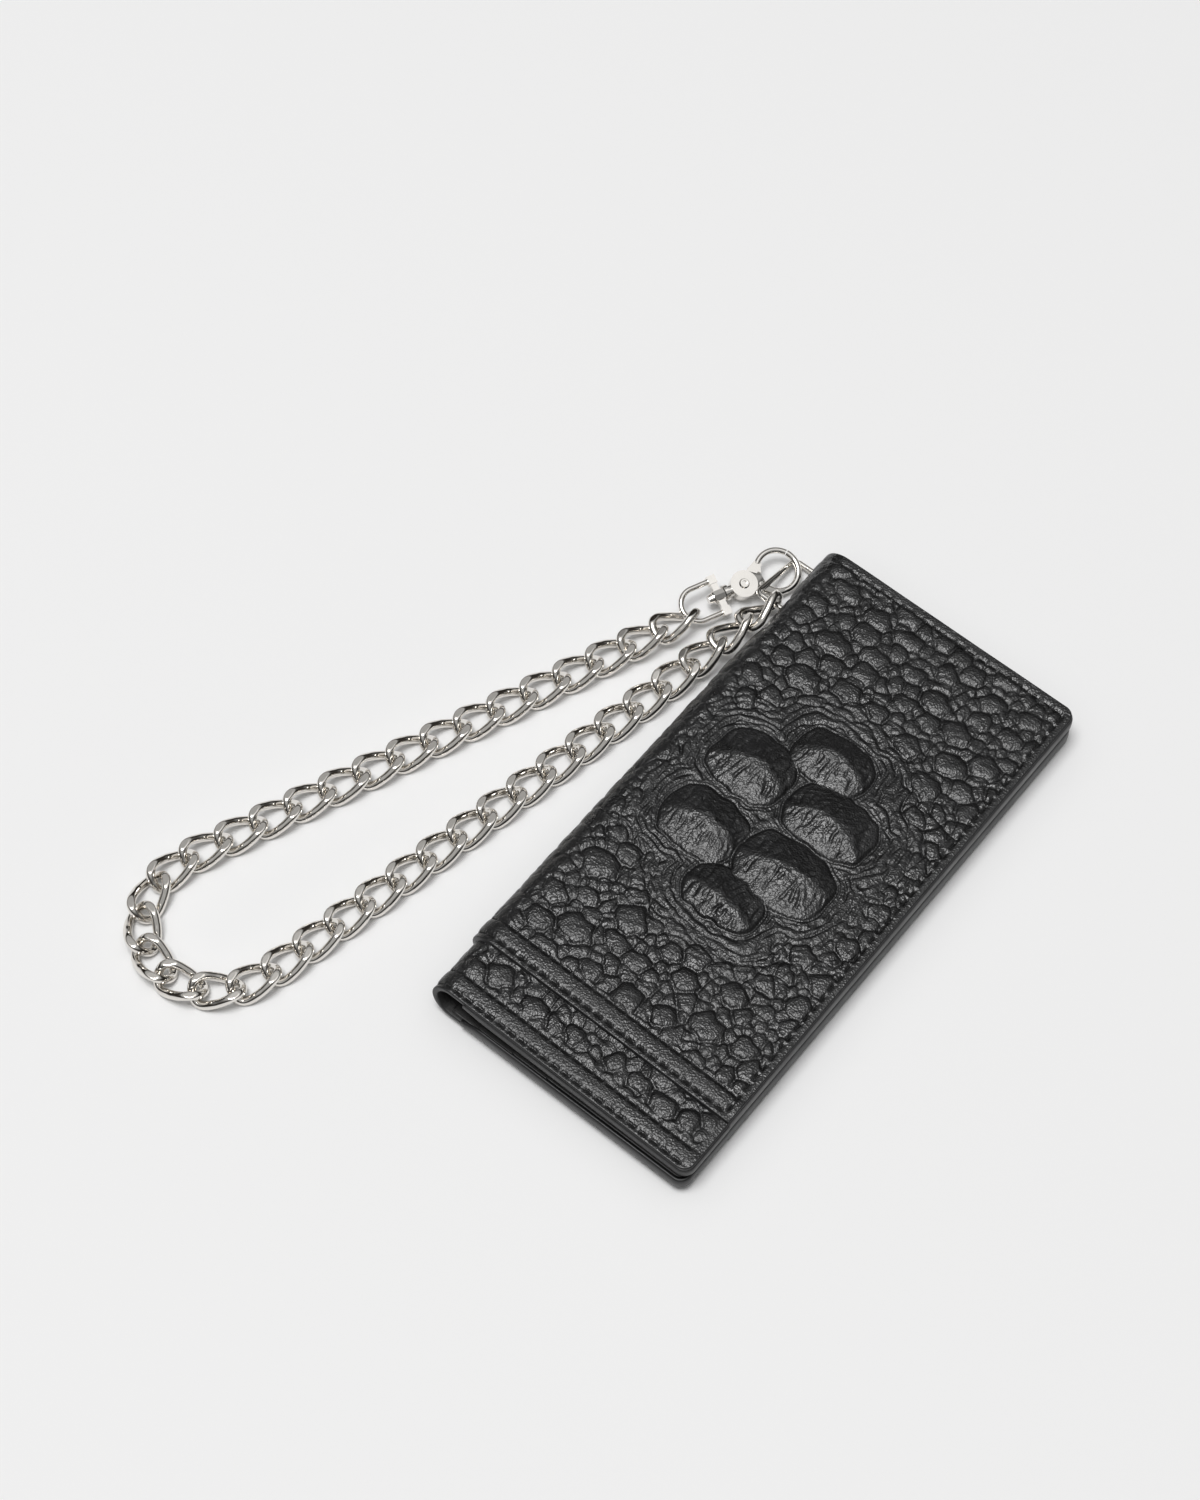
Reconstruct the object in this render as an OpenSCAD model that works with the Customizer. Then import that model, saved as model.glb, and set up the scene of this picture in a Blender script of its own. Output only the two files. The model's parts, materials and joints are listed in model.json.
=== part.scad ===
// Chain wallet: a long folded leather wallet with a curb chain, a swivel snap and a ring in its fold.
// Millimetres. +X runs from the fold to the open edge, +Y along the fold, +Z up.
// The origin is the middle of the face that the closed wallet rests on.

/* [Wallet] */
// Length of the closed wallet along its fold
wallet_l = 198; // [170:1:220]
// Width of the closed wallet, from the outside of the fold to the open edge
wallet_w = 97.5; // [88:0.5:110]
// Radius of the corners on the open edge
corner_r = 4; // [2:0.5:10]
// Thickness of the base leather
cover_t = 1.9; // [1.4:0.1:2.4]
// Thickness of the outer grained panel
panel_t = 1.5; // [1:0.1:2]
// Thickness of the lining
lining_t = 1.2; // [0.8:0.1:1.6]
// Thickness of a card slot or pocket leaf
leaf_t = 0.8; // [0.6:0.1:1]
// Distance from the near end to the mouth of the outer panel
mouth_inset = 21.5; // [10:0.5:40]
// Distance that the back half reaches past the front half at the near end
near_step = 1.5; // [0:0.5:4]
// Free height between the halves beside the fold
fold_gap = 3.4; // [2.4:0.1:5]
// Free height between the halves at the open edge
edge_gap = 0.8; // [0.4:0.1:1.2]

/* [Grain] */
// Length of one of the six bosses of the grain, across the wallet
boss_l = 27; // [20:0.5:28]
// Width of a boss, along the fold
boss_w = 19; // [14:0.5:20]
// Height of a boss above the outer panel
boss_h = 2.6; // [1:0.1:3.2]

/* [Inside] */
// Bare strip between the fold and the mouth of the note pocket
pocket_mouth = 10.5; // [10:0.5:16]
// Step from one card slot's mouth to the next
slot_step = 13; // [8:0.5:18]

/* [Ring] */
// Wire diameter of the ring
ring_wire = 2; // [1.8:0.1:2.4]
// Width of the ring along the fold, between wire centres
ring_w = 21.5; // [20.5:0.5:25]
// Depth of the ring away from the fold, between wire centres
ring_reach = 12.2; // [11.5:0.1:14]
// Bend radius of the ring's corners, at the wire's centre
ring_corner = 2.2; // [2:0.1:2.6]
// Distance from the wallet's far end to the middle of the ring
ring_inset = 13.5; // [13:0.5:30]
// Slope of the ring along the fold, far end low
ring_tilt = 16; // [15:0.1:18]
// Thickness of the tab's strap
strap_t = 1.2; // [0.8:0.1:1.4]
// Width of the tab's strap
strap_w = 10; // [8:0.5:12]
// Length of the sewn tail of the tab, from the fold line
strap_tail = 9; // [6:0.5:10]
// Distance from the outside of the fold in to the ring's inner bar
bar_inset = 2.6; // [2.4:0.1:3.2]

/* [Clasp] */
// Mean radius of the hook's eye
eye_r = 7; // [6.8:0.05:8]
// Wire diameter of the hook
hook_wire = 2.2; // [2:0.1:2.4]
// Distance from the rivet to the middle of the eye
eye_u = 12.6; // [12:0.1:14]
// Radius of the clasp's round body
body_r = 4.5; // [4.2:0.1:5]
// Thickness of the clasp's round body
body_t = 4.2; // [4:0.1:5.4]
// Thickness of the trigger's web between the cheeks of the body
web_t = 1.6; // [1.3:0.1:2]
// Diameter of the trigger's rivet
rivet_d = 2; // [1.6:0.1:2.4]
// Diameter of the swivel post
post_d = 2.2; // [1.8:0.1:2.6]
// Wire diameter of the bail
bail_wire = 1.9; // [1.6:0.1:2.2]
// Half width of the bail, at the wire's centre
bail_r = 5.6; // [5.2:0.1:6.5]
// Length of the bail's straight legs
bail_leg = 7.5; // [6:0.5:9]
// Heading of the clasp, from the fold's direction towards the wallet
clasp_heading = 23.5; // [20:0.5:30]
// Roll of the clasp about its length, left side up
clasp_roll = 18; // [16:0.5:20]

/* [Chain] */
// Wire diameter of the links
link_wire = 2.9; // [2.6:0.05:3]
// Outer width of a link
link_w = 11.8; // [11:0.1:12.4]
// Rise of the wire above and below the link's middle plane
link_rise = 2.4; // [2.2:0.05:2.6]
// Height of a link over its ground flats
flat_h = 6.6; // [6:0.1:7]
// Free play between two links that pull on each other
link_play = 0.4; // [0.2:0.05:0.6]
// Length of the straight strand that leaves the clasp
strand_run = 179.1; // [165:0.1:195]
// Heading of that strand, from the fold's direction away from the wallet
strand_heading = 21.7; // [19:0.1:24]
// Radius of the chain's U-turn
bend_r = 24; // [21:0.5:28]

/* [Hidden] */
$fn = 48;
link_count = 39;
running = 0.08;
seat = 0.02;
play = 0.3;

leather = [0.11, 0.11, 0.115];
smooth_leather = [0.15, 0.15, 0.155];
suede = [0.2, 0.19, 0.18];
nickel = [0.78, 0.76, 0.73];

// Heights of the two halves and the fold between them
back_cover_z = panel_t;
back_lining_z = back_cover_z + cover_t;
pocket_z = back_lining_z + lining_t;
back_slot_z = pocket_z + leaf_t;
back_h = back_slot_z + 2 * leaf_t;
front_h = panel_t + cover_t + lining_t + 2 * leaf_t;
fold_r = (back_h + fold_gap + front_h) / 2;
fold_x = fold_r - wallet_w / 2;
open_x = wallet_w / 2;
far_y = wallet_l / 2;
near_y = -far_y;
front_near_y = near_y + near_step;
mouth_y = near_y + mouth_inset;
lean = atan((fold_gap - edge_gap) / (open_x - fold_x));

// The ring's inner bar lies in the tab, whose tail is sewn on the base leather
bar_x = bar_inset - wallet_w / 2;
bar_y = far_y - ring_inset;
bar_z = back_lining_z + strap_t;
bar_drop = strap_w / 2 * tan(ring_tilt);
loop_r = ring_wire / 2 + play;

// Rotations of a point about the three axes, in the order that rotate() uses
function turn_x(a, p) = [p.x, p.y * cos(a) - p.z * sin(a), p.y * sin(a) + p.z * cos(a)];
function turn_y(a, p) = [p.x * cos(a) + p.z * sin(a), p.y, p.z * cos(a) - p.x * sin(a)];
function turn_z(a, p) = [p.x * cos(a) - p.y * sin(a), p.x * sin(a) + p.y * cos(a), p.z];
function turned(r, p) = turn_z(r.z, turn_y(r.y, turn_x(r.x, p)));

ring_turn = [-ring_tilt, 0, 0];
function ring_point(p) = [bar_x, bar_y, bar_z] + turned(ring_turn, p);

// The hook holds the ring's outer bar beside the middle of its eye
hook_shift = 1.5;
eye_v = -1.2;
hook_point = ring_point([-ring_reach, hook_shift, 0]);
flat_z = flat_h / 2;

// Places along the clasp's length, from the rivet
collar_end = -body_r - 2.5;
bar_depth = 3.6;
bail_bar = collar_end - play / 2 - bar_depth / 2;
head_start = bail_bar - bar_depth / 2 - play / 2;
head_t = 1.8;
bail_bend = bail_bar - bail_leg;

// The first link hangs beside the middle of the bail's bend
grip_angle = 32;
grip_room = 0.2;
grip_r = bail_r - (bail_wire + link_play) / 2 - grip_room;
grip_u = bail_bend - grip_r * cos(grip_angle);
grip_v = -grip_r * sin(grip_angle);

// The clasp's pitch sets the first link's hold on the bail a little above the height of the chain
clasp_lift = 1.4;
clasp_drop = hook_point.z - flat_z - clasp_lift + (grip_v - eye_v) * sin(clasp_roll);
clasp_pitch = asin(clasp_drop / (eye_u - grip_u));
clasp_turn = [clasp_roll, -clasp_pitch, 90 - clasp_heading];
clasp_o = hook_point - turned(clasp_turn, [eye_u, eye_v, 0]);
function clasp_point(p) = clasp_o + turned(clasp_turn, p);

// The chain's route: a straight strand, a U-turn and a tangent back to the ring's near arm
grip_x = 6 - ring_reach;
grip_y = ring_wire / 2 + link_play - ring_w / 2;
chain_start = clasp_point([grip_u, grip_v, 0]);
chain_end = ring_point([grip_x, grip_y, 0]);
out_angle = -90 - strand_heading;
function heading(a) = [cos(a), sin(a), 0];
function leftward(a) = [-sin(a), cos(a), 0];
start_xy = [chain_start.x, chain_start.y, 0];
end_xy = [chain_end.x, chain_end.y, 0];
bend_c = start_xy + strand_run * heading(out_angle) + bend_r * leftward(out_angle);
back_v = end_xy - bend_c;
back_run = sqrt(back_v * back_v - bend_r * bend_r);
back_angle = atan2(back_v.y, back_v.x) + atan2(bend_r, back_run);
bend_turn = (back_angle - out_angle + 360) % 360;
bend_len = bend_r * bend_turn * PI / 180;
bend_end = bend_c - bend_r * leftward(back_angle);
route_len = strand_run + bend_len + back_run;
pitch = route_len / link_count;
rise_len = 5 * pitch;
function smooth(k) = k * k * (3 - 2 * k);
function near(d) = smooth(max(0, 1 - d / rise_len));
function rise_at(s) = near(route_len - s) * (chain_end.z - flat_z) + near(s) * (chain_start.z - flat_z);
function bend_angle(s) = out_angle + (s - strand_run) / bend_r * 180 / PI;
function plan_at(s) =
    s < strand_run ? start_xy + s * heading(out_angle) :
    s < strand_run + bend_len ? bend_c - bend_r * leftward(bend_angle(s)) :
    bend_end + (s - strand_run - bend_len) * heading(back_angle);
function contact(i) = plan_at(i * pitch) + [0, 0, flat_z + rise_at(i * pitch)];

// The links at the two ends roll over to hang in the bail and on the ring's arm
start_roll = 24;
start_links = 2;
end_roll = -50;
end_links = 3;
function fade(k) = max(0, 1 - k);
function start_fade(i) = fade((i - 1) / start_links);
function end_fade(i) = fade((link_count - i) / end_links);
function link_roll(i) = start_roll * start_fade(i) + end_roll * end_fade(i);

// One link: a twisted oval, swept as a closed tube and ground flat above and below
link_a = (pitch + link_wire + link_play) / 2;
link_b = (link_w - link_wire) / 2;
oval = 0.9;
ring_steps = 18;
wire_sides = 8;
function power(v) = sign(v) * pow(abs(v), oval);
function link_mid(t) = [link_a * power(cos(t)), link_b * power(sin(t)), -link_rise * sin(2 * t)];
function unit(v) = v / norm(v);
function link_ring(t) =
    let (p = link_mid(t))
    let (along = unit(link_mid(t + 4) - link_mid(t - 4)))
    let (side = unit(cross([0, 0, 1], along)))
    let (over = cross(along, side))
    [for (k = [0 : wire_sides - 1])
        let (q = p + link_wire / 2 * (cos((k + 0.5) * 360 / wire_sides) * side
            + sin((k + 0.5) * 360 / wire_sides) * over))
        [q.x, q.y, max(-flat_z, min(flat_z, q.z))]];
link_points = [for (j = [0 : ring_steps - 1]) each link_ring((j + 0.5) * 360 / ring_steps)];
function link_at(j, k) = (j % ring_steps) * wire_sides + k % wire_sides;
link_faces = [for (j = [0 : ring_steps - 1]) for (k = [0 : wire_sides - 1])
    each [[link_at(j, k), link_at(j + 1, k), link_at(j + 1, k + 1)],
        [link_at(j, k), link_at(j + 1, k + 1), link_at(j, k + 1)]]];

// The bosses lie in three pairs: each pair's share of boss_l from the fold and of boss_w from its middle
boss_pairs = [[0.9, 0.55], [1.56, 1.53], [1.96, 0.45]];
boss_mid = 0.33;
boss_root = 0.4;
boss_sides = 16;
boss_rings = [1, 0.86, 0.62, 0.32];
function boss_body(r) = pow(1 - pow(r, 2.6), 0.75);
function boss_rise(r, q) = r < 1 ? boss_h * boss_body(r) * (1 - 0.62 * abs(q)) : -boss_root;
function boss_ring(r) = [for (k = [0 : boss_sides - 1])
    let (p = r * power(cos(k * 360 / boss_sides)))
    let (q = r * power(sin(k * 360 / boss_sides)))
    [p * boss_l / 2, q * boss_w / 2, boss_rise(r, q)]];
boss_points = concat([for (r = boss_rings) each boss_ring(r)], [[0, 0, boss_h]]);
boss_top = len(boss_points) - 1;
boss_last = len(boss_rings) - 1;
function boss_at(j, k) = j * boss_sides + k % boss_sides;
boss_faces = concat([[for (k = [0 : boss_sides - 1]) k]],
    [for (j = [0 : boss_last - 1]) for (k = [0 : boss_sides - 1])
        each [[boss_at(j, k), boss_at(j + 1, k), boss_at(j + 1, k + 1)],
            [boss_at(j, k), boss_at(j + 1, k + 1), boss_at(j, k + 1)]]],
    [for (k = [0 : boss_sides - 1]) [boss_at(boss_last, k), boss_top, boss_at(boss_last, k + 1)]]);

function two_digits(i) = str(i < 10 ? "0" : "", i);
function link_name(i) = str("link_", two_digits(i));

// A flat outline in X and Z, drawn along Y from y0 to y1
module along_y(y0, y1) {
    translate([0, y1, 0]) rotate([90, 0, 0]) linear_extrude(y1 - y0) children();
}

// A sheet from x0 to the open edge, with round corners on the open edge
module sheet(x0, y0, y1, z0, t) {
    translate([0, 0, z0]) linear_extrude(t) union() {
        translate([x0, y0]) square([open_x - corner_r - x0, y1 - y0]);
        translate([x0, y0 + corner_r]) square([open_x - x0, y1 - y0 - 2 * corner_r]);
        translate([open_x - corner_r, y0 + corner_r]) circle(corner_r);
        translate([open_x - corner_r, y1 - corner_r]) circle(corner_r);
    }
}

// The front half turns about the middle of the fold, leaning down to the open edge
module front_place() {
    translate([fold_x, 0, fold_r]) rotate([0, lean, 0]) children();
}

// A sheet of the front half, at depth z0 from its outside
module front_sheet(x0, y0, y1, z0, t) {
    front_place() translate([-fold_x, 0, -fold_r]) sheet(x0, y0, y1, 2 * fold_r - z0 - t, t);
}

module back_cover() {
    color(smooth_leather) sheet(fold_x, near_y, far_y, back_cover_z, cover_t);
}

module front_cover() {
    color(smooth_leather) front_sheet(fold_x, front_near_y, far_y, panel_t, cover_t);
}

module back_outer_panel() {
    color(leather) sheet(fold_x, mouth_y, far_y, 0, panel_t);
}

// One boss of the grain, with a keel along its length
module boss() {
    polyhedron(boss_points, boss_faces);
}

module front_outer_panel() {
    color(leather) union() {
        front_sheet(fold_x, mouth_y, far_y, 0, panel_t);
        for (pair = boss_pairs) for (side = [-1, 1])
            front_place() translate([pair[0] * boss_l, (boss_mid + side * pair[1]) * boss_w, fold_r]) boss();
    }
}

// Half ring of the fold between two radii, ending where the two halves start
module fold_outline(outer, inner) {
    translate([fold_x, fold_r]) difference() {
        circle(outer, $fn = 96);
        circle(inner, $fn = 96);
        translate([0, -4 * outer]) square(4 * outer);
        rotate(-lean) square(4 * outer);
    }
}

// Slit that the ring and its tab pass through, with room for the tab's tail inside the fold
module fold_slit() {
    slit_w = ring_w + ring_wire + 2.4;
    slit_h = ring_wire + 3;
    loop_h = 2 * (loop_r + strap_t + bar_drop + play);
    tail_h = 2 * (strap_t + play);
    cut_w = strap_w + 2 * play;
    outward = fold_r / 2;
    bar_room = ring_wire / 2 + play;
    loop_room = loop_r + strap_t + play;
    tail_room = fold_x - bar_x + 1;
    translate([bar_x, bar_y, bar_z]) {
        rotate(ring_turn) translate([-outward, -slit_w / 2, -slit_h / 2])
            cube([outward + bar_room, slit_w, slit_h]);
        translate([-outward, -cut_w / 2, -loop_h / 2]) cube([outward + loop_room, cut_w, loop_h]);
        translate([0, -cut_w / 2, -tail_h / 2]) cube([tail_room, cut_w, tail_h]);
    }
}

module spine_fold() {
    color(leather) difference() {
        union() {
            along_y(front_near_y, far_y) fold_outline(fold_r - panel_t, fold_r - panel_t - cover_t);
            along_y(mouth_y, far_y) fold_outline(fold_r, fold_r - panel_t);
        }
        fold_slit();
    }
}

// The lining is notched where the ring's tab is sewn on the base leather
module back_lining() {
    color(suede) difference() {
        sheet(fold_x, near_y, far_y, back_lining_z, lining_t);
        translate([fold_x - 1, bar_y - strap_w / 2 - play, back_lining_z - 1])
            cube([strap_tail + play + 1, strap_w + 2 * play, lining_t + 2]);
    }
}

module front_lining() {
    color(suede) front_sheet(fold_x, front_near_y, far_y, panel_t + cover_t, lining_t);
}

module bill_pocket() {
    color(suede) sheet(fold_x + pocket_mouth, near_y, far_y, pocket_z, leaf_t);
}

module back_card_slot(n) {
    z = back_slot_z + (n - 1) * leaf_t;
    color(suede) sheet(fold_x + pocket_mouth + n * slot_step, near_y, far_y, z, leaf_t);
}

module front_card_slot(n) {
    z = panel_t + cover_t + lining_t + (n - 1) * leaf_t;
    color(suede) front_sheet(fold_x + pocket_mouth + n * slot_step, front_near_y, far_y, z, leaf_t);
}

// An upright slot outline for the tab's loop
module loop_outline(r) {
    translate([0, bar_drop]) circle(r);
    translate([0, -bar_drop]) circle(r);
    translate([-r, -bar_drop]) square([2 * r, 2 * bar_drop]);
}

module ring_tab() {
    tail_end = fold_x + strap_tail - bar_x;
    color(smooth_leather) translate([bar_x, bar_y, bar_z]) along_y(-strap_w / 2, strap_w / 2) difference() {
        union() {
            loop_outline(loop_r + strap_t);
            translate([0, -strap_t]) square([tail_end, 2 * strap_t]);
        }
        loop_outline(loop_r);
    }
}

// A quarter bend of round wire, from +X to +Y about the origin
module wire_bend(bend, wire, angle) {
    rotate_extrude(angle = angle) translate([bend, 0]) circle(d = wire);
}

// A straight round wire from one point along the local X or Y axis
module wire_x(len, wire) {
    rotate([0, 90, 0]) cylinder(h = len, d = wire);
}

module wire_y(len, wire) {
    rotate([-90, 0, 0]) cylinder(h = len, d = wire);
}

module d_ring() {
    bar = ring_w - 2 * ring_corner;
    arm = ring_reach - 2 * ring_corner;
    color(nickel) translate([bar_x, bar_y, bar_z]) rotate(ring_turn) translate([-ring_reach / 2, 0, 0]) {
        for (side = [0, 180]) rotate(side) {
            translate([ring_reach / 2, -bar / 2, 0]) wire_y(bar, ring_wire);
            translate([-arm / 2, ring_w / 2, 0]) wire_x(arm, ring_wire);
            translate([arm / 2, bar / 2, 0]) wire_bend(ring_corner, ring_wire, 90);
            translate([-arm / 2, bar / 2, 0]) rotate(90) wire_bend(ring_corner, ring_wire, 90);
        }
    }
}

module clasp_place() {
    translate(clasp_o) rotate(clasp_turn) children();
}

// Angles round the eye, from the clasp's heading: the gate meets the nose at gate_tip
gate_tip = 40;
gate_gap = 2.5;
gate_root = 138;
gate_wire = hook_wire * 0.93;
hook_sweep = 188;
slot_t = web_t + play;
hub_r = 2.4;
cavity_r = 3.6;

// The bore for the swivel post ends short of the trigger's cavity
bore_end = -cavity_r - 0.5;

// The gap between the cheeks of the body, wide enough for the gate's swing
module trigger_slot() {
    reach = 1.8 * body_r;
    top = 2 * body_r;
    linear_extrude(slot_t, center = true) {
        circle(cavity_r);
        polygon([[0, 0], [reach, -0.45 * reach], [reach, top], [-0.6 * top, top]]);
    }
}

// The body narrows and thins from its round end to the root of the hook
module teardrop(root) {
    difference() {
        hull() {
            cylinder(h = body_t, r = body_r, center = true);
            translate(root) cylinder(h = hook_wire * 0.6, r = hook_wire * 0.5, center = true);
            translate([0.5 * eye_u, 0, 0]) cylinder(h = hook_wire * 1.3, r = 0.7, center = true);
        }
        translate([eye_u, 0, 0]) cylinder(h = 2 * body_t, r = eye_r - hook_wire / 2, center = true);
    }
}

module clasp_hook() {
    nose = gate_tip - gate_gap;
    root = [eye_u + eye_r * cos(nose - hook_sweep), eye_r * sin(nose - hook_sweep)];
    flange_t = 1.3;
    color(nickel) clasp_place() difference() {
        union() {
            teardrop(root);
            translate([collar_end, 0, 0]) wire_x(body_r, 1.8 * post_d);
            translate([collar_end, 0, 0]) wire_x(flange_t, 2.4 * post_d);
            translate([eye_u, 0, 0]) rotate(nose - hook_sweep) wire_bend(eye_r, hook_wire, hook_sweep);
        }
        trigger_slot();
        translate([0, 0, -body_t]) cylinder(h = 2 * body_t, d = rivet_d + 2 * seat);
        translate([collar_end - 1, 0, 0]) wire_x(bore_end - collar_end + 1, post_d + 2 * seat);
    }
}

// The gate: a hub between the cheeks, a web, the gate's arc and the thumb spur
module clasp_trigger() {
    root = [eye_u + eye_r * cos(gate_root), eye_r * sin(gate_root)];
    hub_side = [[-0.6 * hub_r, 0.75 * hub_r], [0.75 * hub_r, -0.45 * hub_r]];
    web = concat(hub_side, [root + [1.2, -1], root + [-0.6, 1.2]]);
    spur = [root + [0.4, 1], root + [-3.5, -0.1], root + [-0.2, -3.4], root + [0.6, -1]];
    color(nickel) clasp_place() difference() {
        union() {
            linear_extrude(web_t, center = true) {
                circle(hub_r);
                polygon(web);
                polygon(spur);
            }
            translate([eye_u, 0, 0]) rotate(gate_tip) wire_bend(eye_r, gate_wire, gate_root - gate_tip);
        }
        translate([0, 0, -body_t]) cylinder(h = 2 * body_t, d = rivet_d + 2 * running);
    }
}

module trigger_rivet() {
    head_r = rivet_d * 0.85;
    rise = 0.6;
    color(nickel) clasp_place() difference() {
        union() {
            translate([0, 0, -body_t / 2]) cylinder(h = body_t, d = rivet_d);
            for (side = [0, 180]) rotate([side, 0, 0]) translate([0, 0, body_t / 2])
                cylinder(h = rise, r1 = head_r, r2 = head_r * 0.8);
        }
        for (side = [0, 180]) rotate([side, 0, 0]) translate([0, 0, body_t / 2 + rise / 3])
            cylinder(h = rise, r = head_r * 0.5);
    }
}

// A curved leaf spring in the body's cavity, behind the trigger's hub
module trigger_spring() {
    leaf = 0.35;
    spread = 130;
    color(nickel) clasp_place() rotate(180 - spread / 2) rotate_extrude(angle = spread)
        translate([cavity_r - leaf - 0.1, -web_t / 2]) square([leaf, web_t]);
}

module swivel_post() {
    tail = bore_end - 0.1;
    color(nickel) clasp_place() {
        translate([head_start - head_t / 2, 0, 0]) wire_x(tail - head_start + head_t / 2, post_d);
        translate([head_start - head_t, 0, 0]) rotate([0, 90, 0])
            cylinder(h = head_t, r1 = post_d * 0.65, r2 = post_d * 0.85);
    }
}

module swivel_bail() {
    barrel_d = 2 * post_d;
    bar_t = bail_wire + 0.3;
    ear = bail_wire + 0.9;
    color(nickel) clasp_place() difference() {
        union() {
            translate([bail_bar - bar_depth / 2, 0, 0]) rotate([0, 90, 0])
                cylinder(h = bar_depth, d = barrel_d, $fn = 8);
            translate([bail_bar, 0, 0]) cube([bar_t, 2 * bail_r, bar_t], center = true);
            for (v = [-bail_r, bail_r]) {
                translate([bail_bar, v, 0]) cube(ear, center = true);
                translate([bail_bend, v, 0]) wire_x(bail_leg, bail_wire);
            }
            translate([bail_bend, 0, 0]) rotate(90) wire_bend(bail_r, bail_wire, 180);
        }
        translate([bail_bar - bar_depth, 0, 0]) wire_x(2 * bar_depth, post_d + 2 * running);
    }
}

module chain_link(i) {
    from = contact(i - 1);
    to = contact(i);
    run = to - from;
    slope = asin(run.z / norm(run));
    color(nickel) translate((from + to) / 2) rotate([link_roll(i), -slope, atan2(run.y, run.x)])
        polyhedron(link_points, link_faces);
}

back_cover();
front_cover();
spine_fold();
back_outer_panel();
front_outer_panel();
back_lining();
front_lining();
back_card_slot(1);  // back_card_slot_1
back_card_slot(2);  // back_card_slot_2
front_card_slot(1);  // front_card_slot_1
front_card_slot(2);  // front_card_slot_2
bill_pocket();
ring_tab();
d_ring();
clasp_hook();
clasp_trigger();
trigger_rivet();
trigger_spring();
swivel_post();
swivel_bail();
for (i = [1 : link_count]) chain_link(i);
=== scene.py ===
"""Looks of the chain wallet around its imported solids.

Sizes are in millimetres until a mesh is made.
"""

import json
import math

import bpy
import numpy as np
from mathutils import Matrix, Vector

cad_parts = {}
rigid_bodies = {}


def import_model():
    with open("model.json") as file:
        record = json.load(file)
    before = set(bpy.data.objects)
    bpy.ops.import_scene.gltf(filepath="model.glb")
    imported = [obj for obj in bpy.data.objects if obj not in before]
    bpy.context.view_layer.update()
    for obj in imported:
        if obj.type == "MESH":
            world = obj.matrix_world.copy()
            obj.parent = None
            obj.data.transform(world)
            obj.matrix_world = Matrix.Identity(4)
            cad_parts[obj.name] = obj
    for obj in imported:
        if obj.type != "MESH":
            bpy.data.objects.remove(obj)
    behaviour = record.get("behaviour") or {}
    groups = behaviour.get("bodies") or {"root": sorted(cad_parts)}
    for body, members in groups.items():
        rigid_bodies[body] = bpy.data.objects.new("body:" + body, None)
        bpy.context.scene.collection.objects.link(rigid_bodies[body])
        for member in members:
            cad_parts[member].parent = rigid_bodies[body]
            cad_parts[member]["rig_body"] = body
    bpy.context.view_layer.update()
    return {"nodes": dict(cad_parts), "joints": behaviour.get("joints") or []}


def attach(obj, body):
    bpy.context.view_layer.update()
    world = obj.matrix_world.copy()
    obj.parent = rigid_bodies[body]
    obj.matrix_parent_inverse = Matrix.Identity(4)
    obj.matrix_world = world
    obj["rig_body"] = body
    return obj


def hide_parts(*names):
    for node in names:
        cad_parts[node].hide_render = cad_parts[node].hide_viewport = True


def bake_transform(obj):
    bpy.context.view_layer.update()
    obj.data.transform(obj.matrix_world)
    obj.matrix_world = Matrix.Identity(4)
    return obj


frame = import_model()

MM = 0.001
TURN = 2 * math.pi
JOINTS = {j["name"]: j for j in frame["joints"]}

# Sizes that the solids are made with
WALLET_L, WALLET_W = 198.0, 97.5
CORNER_R = 4.0
COVER_T, PANEL_T, LINING_T, LEAF_T = 1.9, 1.5, 1.2, 0.8
SHELL_T = PANEL_T + COVER_T
BACK_H = SHELL_T + LINING_T + 3 * LEAF_T
FRONT_H = SHELL_T + LINING_T + 2 * LEAF_T
FOLD_GAP, EDGE_GAP = 3.4, 0.8
FOLD_R = (BACK_H + FOLD_GAP + FRONT_H) / 2
FOLD_X = FOLD_R - WALLET_W / 2
SPAN = WALLET_W - FOLD_R
LEAN = math.atan((FOLD_GAP - EDGE_GAP) / SPAN)
ARC = FOLD_R * (math.pi + LEAN)
FAR_Y, NEAR_Y = WALLET_L / 2, -WALLET_L / 2
NEAR_STEP, MOUTH_INSET = 1.5, 21.5
FRONT_NEAR_Y = NEAR_Y + NEAR_STEP
MOUTH_Y = NEAR_Y + MOUTH_INSET
POCKET_INSET, SLOT_STEP = 10.5, 13.0
RING_TILT, RING_W, RING_WIRE, RING_INSET = math.radians(16), 21.5, 2.0, 13.5
BAR_INSET, STRAP_T, STRAP_W = 2.6, 1.2, 10.0
BAR = np.array([BAR_INSET - WALLET_W / 2, FAR_Y - RING_INSET, SHELL_T + STRAP_T])
LINK_WIRE, LINK_W, LINK_PITCH, LINK_PLAY = 2.9, 11.8, 11.86, 0.4
LINK_RISE, LINK_FLAT, LINK_OVAL = 2.4, 6.6, 0.9
EYE_R, EYE_U, HOOK_R = 7.0, 12.6, 1.1

EDGE_R = 0.45          # rounding of cut leather edges
EDGE_IN = 0.5          # how far the leather stops inside the painted edge
NEAR_END = {"back": NEAR_Y, "front": FRONT_NEAR_Y}
DEPTH = {"back": BACK_H, "front": FRONT_H}


# ---- surface of the wrapped leather ------------------------------------------------------------

def smooth(k):
    """Eases from 0 to 1 as k does, and stays there outside."""
    k = np.clip(k, 0, 1)
    return k * k * (3 - 2 * k)


def bell(x, width):
    return np.exp(-(x / width) ** 2)


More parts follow.
